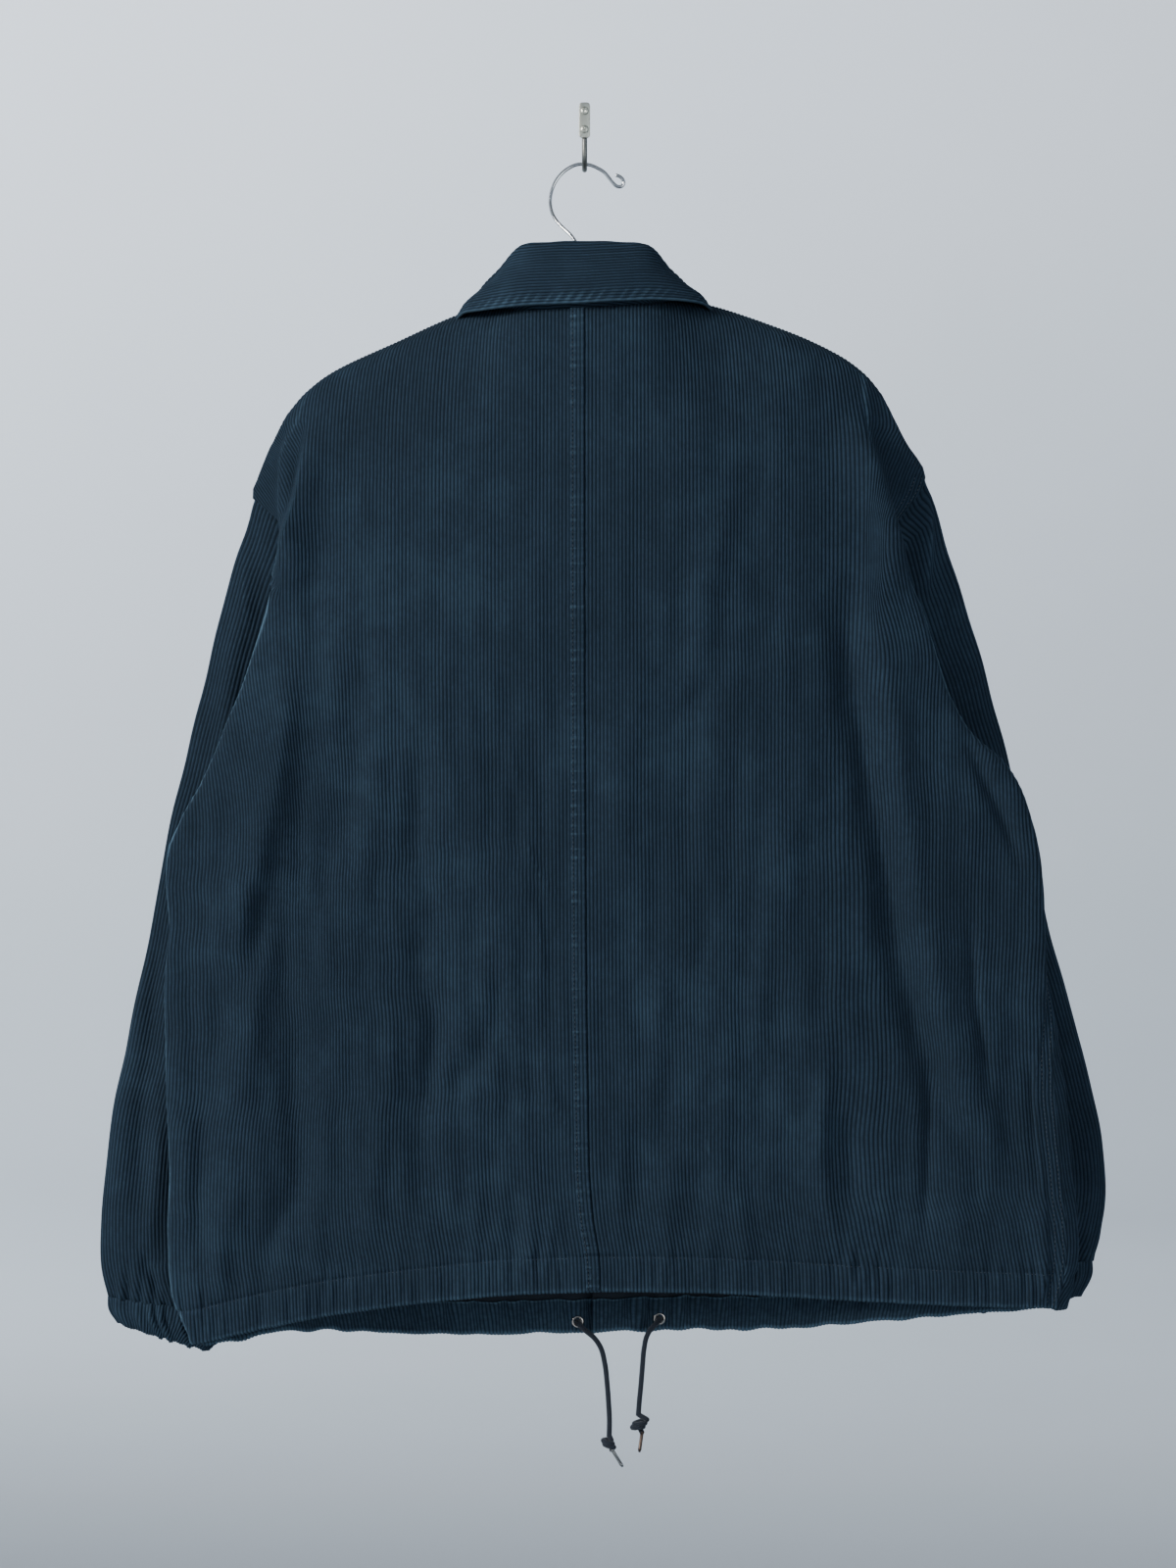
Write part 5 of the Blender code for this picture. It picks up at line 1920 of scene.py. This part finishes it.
def wale_drift(side: Side, x: Numbers, drop: Numbers) -> Numbers:
    """How far the wales of a back half lean away from upright.

    Args:
        side: The side.
        x: The places' x.
        drop: The places' drops.

    Returns:
        The shift of the wales at each place, growing outwards.
    """
    out = side.sign * x
    if side is LEFT:
        drift = 20 * smoothstep((out - 150) / 110) * smoothstep((drop - 370) / 170)
        drift = drift * (1 - 0.6 * smoothstep((drop - 640) / 200))
        inner = np.interp(drop, (200, 255, 294, 332, 380), (203, 206, 211, 221, 240))
        fall = np.clip(drop - 236, 0, 100)
        upper = 1 - smoothstep((drop - 345) / 22)
        between, beyond = smoothstep((out - inner) / 5), smoothstep((out - 222) / 4)
        return drift + upper * (between * 0.5 + beyond * 0.3) * fall
    drift = -9 * smoothstep((out - 170) / 70) * smoothstep((drop - 190) / 70)
    upper = 1 - smoothstep((drop - 330) / 90)
    return drift + upper * smoothstep((out - 206) / 16) * 0.4 * np.clip(drop - 262, 0, 50)


@dataclass
class FrontHalf(Panel):
    """One front, which faces the wall, with its placket and its turned-up hem."""

    row_step: float = 9.0

    def fitted(self) -> Numbers:
        """The front's middle, below the shoulder seam and inside the back's edge, with a scalloped hem."""
        side, points = self.side, self.middle(front_net(self.side)[:, ::-1])
        seam = along(side.neck[-1:] + side.shoulder, np.linspace(0, 1, 40))
        out = side.sign * points[..., 0]
        seam_drop = np.interp(out, side.sign * seam[:, 0], seam[:, 2])
        points[..., 2] += smoothstep((out - 82) / 6) * np.maximum(0, seam_drop + 0.9 - points[..., 2])
        edge = dense(back_net(side), DENSE_ROWS, 60)[:, -1]
        limit = np.interp(points[..., 2], edge[:, 2], side.sign * edge[:, 0])
        near = smoothstep((310 - points[..., 2]) / 20)
        points[..., 0] -= side.sign * np.maximum(0, out - limit + 4.2) * near
        length = reached(points)
        points[..., 2] += 0.5 * Ripples(97, 34).at(points[..., 0]) * bump(length[-1] - length, 16)
        return points

    def build(self) -> Any:
        """Makes the piece.

        Returns:
            The object.
        """
        side = self.side
        self.sheet = sheet = Sheet(self.fitted(), Facing.WALL)
        at = sheet.places()
        shown = smoothstep((7.2 - np.linspace(0, 8, self.columns)[None]) / 1.2)
        height = crease_relief(side.front_creases, at.x, at.drop)[0]
        height = (height + 0.5 * Ripples(71 + side.sign, 64, 3.0).at(at.x, at.drop)) * shown
        loose = smoothstep(at.reach / 40) * smoothstep(at.length / 40) * smoothstep(at.rise / 60)
        sheet.lift(height * loose)
        sheet.reach = sheet.wales()
        gather = Ripples(81, 15, 5.0).at(at.x, at.drop)
        height = 0.8 * gather * bump(at.rise - 20, 16) * smoothstep(at.reach / 16)
        sheet.lift(height - 0.7 * bump(at.rise - CASING_HEIGHT, 2.0) - 0.6 * bump(at.reach - PLACKET, 1.5))
        worn_and_lit = 0.25 * np.clip(gather, 0, 2) * bump(at.rise - CASING_HEIGHT, 6)
        sheet.wear_and_light = np.clip(worn_and_lit + 0.30 * bump(at.rise, 2.5) + 0.30 * bump(at.reach, 1.6), 0, 1)
        self.hem(sheet.wales()[-1], 0.45 * Ripples(91, 26).at(at.x[-1]))
        row = np.arange(len(sheet.points))[:, None] - self.body_rows
        free = np.clip(row / (len(sheet.points) - self.body_rows - 1), 0, 1)
        # the turned-up casing is painted lighter, as painted light against the shade under the back's hem,
        # and its top edge lighter still
        sheet.wear_and_light = np.clip(sheet.wear_and_light * (row < 4) + 0.55 * (free > 0.93) + 0.33 * (free > 0.1), 0, 1)
        sheet.lift(np.where(row >= 4, 0.55 * Ripples(95, 13).at(at.x[-1])[None] * (0.4 + 0.4 * free), 0))
        return self.sewn("front", FRONT_CUTS[side.name])


@dataclass
class Fell:
    """The raised strip beside the centre back seam, on the left half."""

    back: BackHalf
    columns: int = 24
    rows: int = 600
    stitch_line: Line = field(init=False)

    def build(self) -> Any:
        """Makes the piece.

        Returns:
            The object.
        """
        cloth, rows = self.back.sheet, self.back.body_rows
        across = np.linspace(0.9, FELL_WIDTH + 0.6, self.columns)
        full = np.concatenate([cloth.points, cloth.normals()], axis=2)[:rows]
        strip = across_to(full, cloth.wales()[:rows], np.tile(across, (rows, 1)))
        at = np.linspace(0, rows - 1, self.rows)[:, None]
        strip = down_to(strip, np.repeat(at, self.columns, axis=1))
        points, normals, drop = strip[..., :3], strip[..., 3:], strip[..., 2]
        stitched = bump(across - 8.6, 3.4) + 0.5 * bump(across - 1.5, 2)
        pucker = Ripples(101, 4.0, count=5).at(drop) * stitched
        middle = points + normals * (GROUND + 0.80 + 0.26 * pucker[..., None])
        sheet = Sheet(middle, Facing.VIEWER)
        rubbed = 0.14 + 0.10 * (1 - smoothstep((drop - 160) / 50))
        sheet.wear_and_light = np.clip(0.22 * np.clip(pucker, -0.4, 1.5) + rubbed, 0, 1)
        self.stitch_line = (middle[:, -5] + normals[:, -5] * (GROUND + 0.5), normals[:, -5])
        carrier = ["back_left_cloth"]
        return sew(
            "centre_fell", sheet, FELL_CUT, "hung", carrier, "centre_seam_fell", ribs=0.55, inner_face=0.45
        )


def from_inner_edge(net: Numbers) -> Numbers:
    """A net of closed rings, each turned to start at its inner edge."""
    half = (net.shape[1] - 1) // 2
    return np.concatenate([net[:, half:-1], net[:, : half + 1]], axis=1)


@dataclass
class Sleeve:
    """A sleeve that hangs behind the body from its armhole."""

    side: Side
    columns: int = 260
    row_step: float = 6.0

    def build(self) -> Any:
        """Makes the piece.

        Returns:
            The object.
        """
        side, net = self.side, sleeve_net(self.side)
        points = dense(from_inner_edge(net), int(reached(net)[-1].mean() / self.row_step), self.columns)
        sheet = Sheet(points, Facing.OUTWARD, first=self.columns // 2)
        at = sheet.places()
        height, crease_highlight_and_wear = crease_relief(side.sleeve_creases, at.x, at.drop)
        height = height + 0.6 * Ripples(111 + side.sign, 34, 3.0).at(at.x, at.drop)
        gather = Ripples(121 + side.sign, 11, 6.0).at(at.x, at.drop)
        sheet.lift(height * smoothstep(at.length / 25))
        sheet.reach = sheet.wales()
        sheet.lift(1.2 * gather * bump(at.rise, 26))
        worn_and_lit = 0.35 * bump(at.length, 2.5) + 0.16 * np.clip(gather, 0, 2) * bump(at.rise - 4, 14)
        # the creases' lines add painted highlight
        sheet.wear_and_light = np.clip(worn_and_lit + crease_highlight_and_wear, 0, 1)
        name, carrier = f"sleeve_{side.name}", f"back_{side.name}_cloth"
        return sew(name, sheet, SLEEVE_CUTS[side.name], "hung", [carrier], name)


@dataclass
class Cuff:
    """A gathered, elasticated cuff."""

    side: Side
    columns: int = 240
    rows: int = 12

    def build(self) -> Any:
        """Makes the piece.

        Returns:
            The object.
        """
        side = self.side
        net = np.array([ring_points(ring, 40) for ring in side.cuff])
        sheet = Sheet(
            dense(from_inner_edge(net), self.rows, self.columns), Facing.OUTWARD, first=self.columns // 2
        )
        at = sheet.places()
        gather = Ripples(131 + side.sign, 8.5, 20.0).at(at.reach, at.length)
        wander = Ripples(141 + side.sign, 48, 20.0).at(at.reach, at.length)
        pleats = np.sin(2 * math.pi * at.reach / PLEAT + 1.5 * wander)
        height = 0.35 * gather + 0.95 * pleats
        sheet.lift(height * (0.35 + 0.65 * np.sin(math.pi * at.length / at.length[-1])))
        points, normals = sheet.points, sheet.normals()
        edge = points[-1] + np.array((0, 0, 1.0)) * (0.2 * gather[-1] + 0.35 * pleats[-1])[:, None]
        turned_in = [edge - normals[-1] + (0, 0, 0.6), edge - normals[-1] * 2.2]
        turned_in += [points[k] - normals[k] * 2.3 for k in (-2, -4, -6, -8)]
        sheet.points = np.concatenate([points[:-1], edge[None], np.array(turned_in)])
        sheet.reach = np.repeat(sheet.wales()[4:5], len(sheet.points), axis=0)
        pleats = np.concatenate([pleats, np.repeat(pleats[-1:], len(turned_in), axis=0)])
        sheet.wear_and_light = np.clip(0.20 * np.clip(pleats, 0, 2) + 0.2 * bump(reached(sheet.points), 2.0), 0, 1)
        sheet.wear_and_light[self.rows :] *= 0.3
        name, carrier = f"cuff_{side.name}", f"sleeve_{side.name}_cloth"
        return sew(name, sheet, CUFF_CUTS[side.name], "gathered", [carrier], name)


@dataclass
class Collar:
    """The folded collar, whose wales run along it."""

    backs: dict[str, BackHalf]
    rows: int = 270
    columns: int = 150
    sheet: Sheet = field(init=False)

    def build(self) -> Any:
        """Makes the piece.

        Returns:
            The object.
        """
        left, right = (self.backs[name].sheet.points[0] for name in ("left", "right"))
        net = collar_net(np.concatenate([left[::-1], right[1:]]))
        self.sheet = sheet = Sheet(dense(net, self.rows, self.columns), COLLAR_FACING, Measure.TRUE)
        at = sheet.places()
        pucker = Ripples(151, 5.2, count=5).at(at.length)
        height = 0.13 * pucker * bump(at.reach - 5, 5) - 0.45 * bump(at.reach - 7, 1.1)
        sheet.lift(height + 0.35 * Ripples(161, 40).at(at.length, at.reach))
        sheet.drift = 0.2 * sheet.wales()
        # the fall's edge is worn and the stitched band lighter on its puckers; the even 0.2 over the whole
        # collar is painted light
        worn_and_lit = 0.30 * bump(at.reach, 1.6) + 0.22 * np.clip(pucker, -0.3, 1.5) * bump(at.reach - 5, 4) + 0.2
        sheet.wear_and_light = np.clip(worn_and_lit, 0, 1)
        carriers = ["back_left_cloth", "back_right_cloth"]
        return sew("collar", sheet, COLLAR_CUT, "folded", carriers, "collar", ribs=0.6, inner_face=0.8)


# ---------------------------------------------------------------- trims


def braid(rise: Any, turn: Any) -> Any:
    """How high the strands of a braid stand, from 0 to 1.

    Args:
        rise: Places along it, in strands.
        turn: Angles round it.

    Returns:
        The height of its strands that lean one way, and of those that lean the other.
    """
    turn = turn * 4 / math.pi
    return np.abs(np.sin((turn + rise) * math.pi)), np.abs(np.sin((turn - rise) * math.pi))


@dataclass
class Drawstring:
    """One free end of the drawstring, with its knot and metal tip.

    Attributes:
        name: Its side.
        wide: How much wider than round the knot is.
        tilt: How much the knot leans.
        finish: The tip's finish.
    """

    name: str
    wide: float
    tilt: float
    finish: Metal

    def build(self) -> None:
        name, route = self.name, CORD_ROUTES[self.name]
        knot, tip = self.knot(), self.tip()
        length = float(reached(along(route, np.linspace(0, 1, 200)))[-1])

        def radius(share: Numbers, turn: Numbers) -> Numbers:
            """The cord's radius, rough with its strands."""
            one, two = braid(share * length / BRAID.strand, turn)
            return CORD_DIAMETER / 2 - 0.22 + 0.24 * one * two

        mesh, line = tube(f"drawstring_{name}", route, radius, int(length / 0.42), 24)
        piece = add_piece(f"cord_{name}", mesh, [BRAID], "cord", f"drawstring_{name}")
        LOG.info("cord_%s: %.1f mm", name, length)

    def knot(self) -> Any:
        """The knot at the cord's end: the cord wound twice round itself."""
        place = KNOTS[self.name]
        start, end = (np.array(p, float) for p in (CORD_ROUTES[self.name][-1], TIPS[self.name][0]))
        share = np.linspace(0, 1, 70)
        angle = share * KNOT_TURNS * 2 * math.pi
        x = place.x + KNOT_RADIUS * self.wide * np.cos(angle) + self.tilt * (share - 0.5) * 4
        y = place.y + KNOT_RADIUS * 0.85 * np.sin(angle)
        drop = place.drop + (share - 0.5) * 5.6 + self.tilt * np.cos(angle) * 1.2
        route = np.concatenate([[start - (0, 0, 1.0)], np.stack([x, y, drop], axis=1), [end + (0, 0, 1.5)]])

        def radius(share: Numbers, turn: Numbers) -> Numbers:
            """The knotted cord's radius, pressed flat where it is tight."""
            return 1.75 + 0.22 * braid(share * 40 / BRAID.strand, turn)[0]

        mesh, _ = tube(f"knot_{self.name}", route, radius, 170, 16)
        return add_piece(f"knot_{self.name}_cord", mesh, [BRAID], "cord", f"knot_{self.name}")

    def tip(self) -> Any:
        """The crimped metal tip."""
        start, end = (np.array(place, float) for place in TIPS[self.name])
        length = float(np.linalg.norm(end - start))
        radius = TIP_DIAMETER / 2
        profile = (
            (0, 0), (radius * 0.9, 0), (radius * 1.25, 0.3), (radius * 1.25, 1.6), (radius * 0.92, 1.9),
            (radius, 2.4), (radius, length - 3), (radius * 1.12, length - 2.8),
            (radius * 1.12, length - 1.9), (radius * 0.9, length - 1.7), (radius * 0.75, length - 0.3),
            (radius * 0.4, length), (0, length),
        )
        mesh = turned(f"tip_{self.name}", profile, 28, start, (end - start) * (1, 1, -1))
        return add_piece(f"tip_{self.name}_metal", mesh, [self.finish], "bronze_tip", f"tip_{self.name}")


@dataclass
class Eyelets:
    """The two nickel rings that the drawstring leaves through."""

    radius: float = 4.5
    hole: float = 2.25

    def build(self) -> None:
        """Makes both rings, each with a dark disc in its hole as painted shade."""
        ring = (
            (self.hole, 0), (self.radius, 0), (self.radius + 0.1, 0.25), (4.35, 0.65), (4.0, 0.98),
            (3.5, 1.0), (3.1, 0.75), (2.8, 0.3), (self.hole, 0.12), (self.hole, 0),
        )
        # a thin dark disc in the hole: painted shade
        shade_disc = ((0, 0.02), (self.hole + 0.1, 0.02), (self.hole + 0.1, 0.16), (0, 0.16))
        for name, place in EYELETS.items():
            name = f"eyelet_{name}"
            mesh = turned(name, ring, 48, place, OUT_OF_WALL)
            add_piece(f"{name}_ring", mesh, [NICKEL], "nickel", name)
            mesh = turned(f"{name}_well", shade_disc, 24, place, OUT_OF_WALL)
            add_piece(f"{name}_well", mesh, [HANGER], "nickel")


@dataclass
class Snaps:
    """The caps that close the fronts, on the side towards the wall."""

    radius: float = 7.5
    drops: tuple[float, ...] = (252, 395, 538, 681, 824)

    def build(self) -> None:
        """Makes the caps."""
        r = self.radius
        profile = (
            (0, 0), (r - 0.5, 0), (r, 0.4), (r, 1.1), (r - 0.35, 1.6), (r - 1.3, 1.75),
            (r - 1.9, 1.55), (r - 2.5, 1.7), (r - 4, 2.15), (r - 6, 2.36), (0, 2.4),
        )
        for number, drop in enumerate(self.drops, 1):
            place = (FRONT_CENTRE, FRONT_OUTER_Y + 1.1, drop)
            mesh = turned(f"snap_{number}", profile, 44, place, (0, 1, 0))
            add_piece(f"snap_{number}_cap", mesh, [SNAP], "snap_cap", f"snap_{number}")


@dataclass
class Hanger:
    """The hanger's wire hook and the bar inside the shoulders."""

    wire: float = 2.8
    bar: float = 10.0

    def bar_radius(self, share: Numbers, turn: Numbers) -> Numbers:
        """The bar's radius: a little oval, rounded at its ends."""
        end = np.minimum(1, 0.45 + 18 * np.minimum(share, 1 - share))
        return self.bar / 2 * (0.9 + 0.1 * np.cos(2 * turn)) * end

    def build(self) -> None:
        """Makes the wire and the bar."""
        mesh, _ = tube("hanger_wire", WIRE_ROUTE, self.wire / 2, 220, 20)
        add_piece("hanger_wire", mesh, [CHROME], "chrome_wire", "hanger_hook")
        mesh, _ = tube("hanger_shoulders", BAR_ROUTE, self.bar_radius, 160, 24)
        add_piece("hanger_shoulders", mesh, [HANGER], "hanger_bar", "hanger_bar")


def block(width: float, depth: float, height: float) -> Any:
    """A box about the origin as a bmesh, with sizes in mm.

    Args:
        width: Its size along x.
        depth: Its size along y.
        height: Its size along z.

    Returns:
        The bmesh.
    """
    shape = bmesh.new()
    bmesh.ops.create_cube(shape, size=1)
    bmesh.ops.scale(shape, vec=(width * MM, depth * MM, height * MM), verts=shape.verts)
    return shape


@dataclass
class WallHook:
    """The small plate on the wall, its two screws and the bent rod."""

    width: float = 8.5
    height: float = 27.0
    depth: float = 2.0
    rod: float = 4.0
    rod_y: float = 2.6
    rod_bend: float = 12.0
    rod_low: float = 28.0
    screw_radius: float = 3.1
    screw_depth: float = 1.7

    def build(self) -> None:
        """Makes the plate, the screws and the rod."""
        self.plate()
        self.screw("top", -7.0, 0.5)
        self.screw("bottom", 7.0, 1.1)
        route = [(0, -self.rod_y, drop) for drop in (self.height / 2 + 0.3, 18, 23)]
        route += [
            (0, -self.rod_y - self.rod_bend * (1 - math.cos(t)), self.rod_low + self.rod_bend * math.sin(t))
            for t in np.linspace(0, math.pi, 9)
        ]
        route += [(0, -self.rod_y - 2 * self.rod_bend, drop) for drop in (23, 18.4)]
        mesh, _ = tube("hook_prong", route, self.rod_radius, 120, 24)
        add_piece("hook_prong", mesh, [ROD], "zinc_hook", "hook_rod")

    def rod_radius(self, share: Numbers, turn: Numbers) -> Numbers:
        """The rod's radius, rounded at its free end."""
        return self.rod / 2 * np.minimum(1, 0.35 + 60 * (1 - share)) ** 0.5 + 0 * turn

    def plate(self) -> None:
        """Makes the plate, with round corners and a soft front edge."""
        shape = block(self.width, self.depth, self.height)
        corners = [e for e in shape.edges if abs(e.verts[0].co.y - e.verts[1].co.y) > 0.5 * self.depth * MM]
        bmesh.ops.bevel(
            shape, geom=corners, offset=2.6 * MM, offset_type="OFFSET", segments=6, profile=0.5,
            affect="EDGES", material=-1,
        )
        front = [e for e in shape.edges if all(v.co.y < 0 for v in e.verts)]
        bmesh.ops.bevel(
            shape, geom=front, offset=0.35 * MM, offset_type="OFFSET", segments=3, profile=0.5,
            affect="EDGES", material=-1,
        )
        bmesh.ops.translate(shape, vec=(0, -self.depth * MM / 2, 0), verts=shape.verts)
        add_piece("hook_back_plate", finished(shape, "hook_back_plate"), [ZINC], "zinc_hook", "hook_plate")

    def screw(self, name: str, drop: float, turn: float) -> None:
        """Makes a domed screw head with a cross recess.

        Args:
            name: Which screw it is.
            drop: Its drop.
            turn: The angle of its recess.
        """
        r = self.screw_radius
        profile = ((0, 0), (r, 0), (r, 0.25), (r - 0.3, 0.7), (r - 0.9, 1.1), (r - 1.8, 1.34), (0, 1.42))
        mesh = turned(f"screw_{name}", profile, 40, (0, -self.depth - 0.02, drop), OUT_OF_WALL)
        head = linked(f"screw_{name}", mesh)
        for angle in (turn, turn + math.pi / 2):
            cut = block(3.1, 2.2, 0.62)
            bmesh.ops.rotate(cut, cent=(0, 0, 0), matrix=Matrix.Rotation(angle, 3, "Y"), verts=cut.verts)
            place = (0, -(self.depth + self.screw_depth) * MM, -drop * MM)
            bmesh.ops.translate(cut, vec=place, verts=cut.verts)
            blade = linked("blade", finished(cut, "blade"))
            slot = head.modifiers.new("cross", "BOOLEAN")
            slot.object, slot.solver = blade, "EXACT"
            graph = bpy.context.evaluated_depsgraph_get()
            head.data = bpy.data.meshes.new_from_object(head.evaluated_get(graph))
            head.modifiers.clear()
            bpy.data.objects.remove(blade, do_unlink=True)
        mesh = head.data
        bpy.data.objects.remove(head, do_unlink=True)
        add_piece(f"screw_{name}_head", mesh, [ZINC], "zinc_hook", f"screw_{name}")


# ---------------------------------------------------------------- studio


class Light(NamedTuple):
    """A soft square light: where it stands and points, its width, its power in watts and its colour."""

    place: Triple
    aim: Triple
    size: float
    power: float
    colour: Triple


LIGHTS = {
    "key": Light((-4.1, -3.0, 1.3), (0, 0, -0.5), 1.8, 300, (1.0, 0.98, 0.955)),
    "fill": Light((1.8, -3.0, -0.9), (0, 0, -0.5), 2.4, 46, (0.93, 0.965, 1.0)),
    "wall_left": Light((-2.4, 2.2, 2.4), (-2.0, 7.0, 1.4), 2.6, 490, (0.94, 0.975, 1.0)),
    "wall_right": Light((1.5, 1.4, 1.6), (1.4, 7.0, 0.6), 2.6, 100, (0.97, 0.99, 1.0)),
}


@dataclass
class Studio:
    """Camera, lights and the pale seamless backdrop, with sizes in metres."""

    eye: Triple = (0.0026, -2.59, -0.505)
    lens: float = 78.125
    floor: float = -1.45
    reach: float = 7.5
    bend: float = 2.5
    wall: float = 7.0
    sky: float = 0.25

    def camera(self) -> None:
        """Adds the camera, level and square to the wall."""
        data = bpy.data.cameras.new("camera")
        data.sensor_width, data.lens = 36, self.lens
        data.clip_start, data.clip_end = 0.05, 60
        made = linked("camera", data)
        made.location, made.rotation_euler = self.eye, (math.pi / 2, 0, 0)
        bpy.context.scene.camera = made

    def build(self) -> None:
        """Makes the backdrop, the lights and the world."""
        flat, bend = self.reach - self.bend, self.bend
        profile = [(0.0, 0.0), (flat, 0.0)]
        profile += [
            (flat + bend * math.sin(a), bend * (1 - math.cos(a))) for a in np.linspace(0.1, 1.5, 12)
        ]
        profile = [(r / MM, h / MM) for r, h in profile + [(self.reach, self.wall)]]
        mesh = turned("backdrop", profile, 96, (0, 0, -self.floor / MM), (0, 0, 1))
        mesh.materials.append(PaintedShadePaper().material())
        linked("backdrop", mesh)
        for name, light in LIGHTS.items():
            data = bpy.data.lights.new(name, "AREA")
            data.size, data.energy, data.color = light.size, light.power, light.colour
            made = linked(name, data)
            made.location = light.place
            way = Vector(light.aim) - Vector(light.place)
            made.rotation_euler = way.to_track_quat("-Z", "Y").to_euler()
        world = bpy.data.worlds.new("studio")
        world.use_nodes = True
        background = world.node_tree.nodes["Background"].inputs
        background["Color"].default_value = (0.80, 0.88, 0.97, 1)
        background["Strength"].default_value = self.sky
        bpy.context.scene.world = world


def main() -> None:
    """Builds the jacket, its hanger, the wall hook and the studio."""
    logging.basicConfig(level=logging.INFO, format="%(message)s")
    studio = Studio()
    studio.camera()
    Drawstring("left", 1.15, 0.5, SILVER).build()
    Drawstring("right", 1.55, -0.75, BRONZE).build()
    backs = {side.name: BackHalf(side) for side in (LEFT, RIGHT)}
    stitching = Stitching("topstitching")
    for back in backs.values():
        back.build()
        stitching.row(*back.level_line(CASING_STITCH), sink=0.55)
    fell = Fell(backs["left"])
    fell.build()
    stitching.row(*fell.stitch_line)
    for distance in SIDE_STITCHES:
        stitching.row(*backs["right"].upright_line(-distance, first_row=14))
    for side in (LEFT, RIGHT):
        front = FrontHalf(side)
        front.build()
        stitching.row(*front.upright_line(PLACKET), sink=0.3)
        Sleeve(side).build()
        Cuff(side).build()
    collar = Collar(backs)
    collar.build()
    stitching.row(*collar.sheet.line(COLLAR_STITCH, GROUND + 0.5), sink=0.4)
    stitching.build()
    for part in (Eyelets(), Snaps(), Hanger(), WallHook(), studio):
        part.build()


if __name__ == "__main__":
    main()
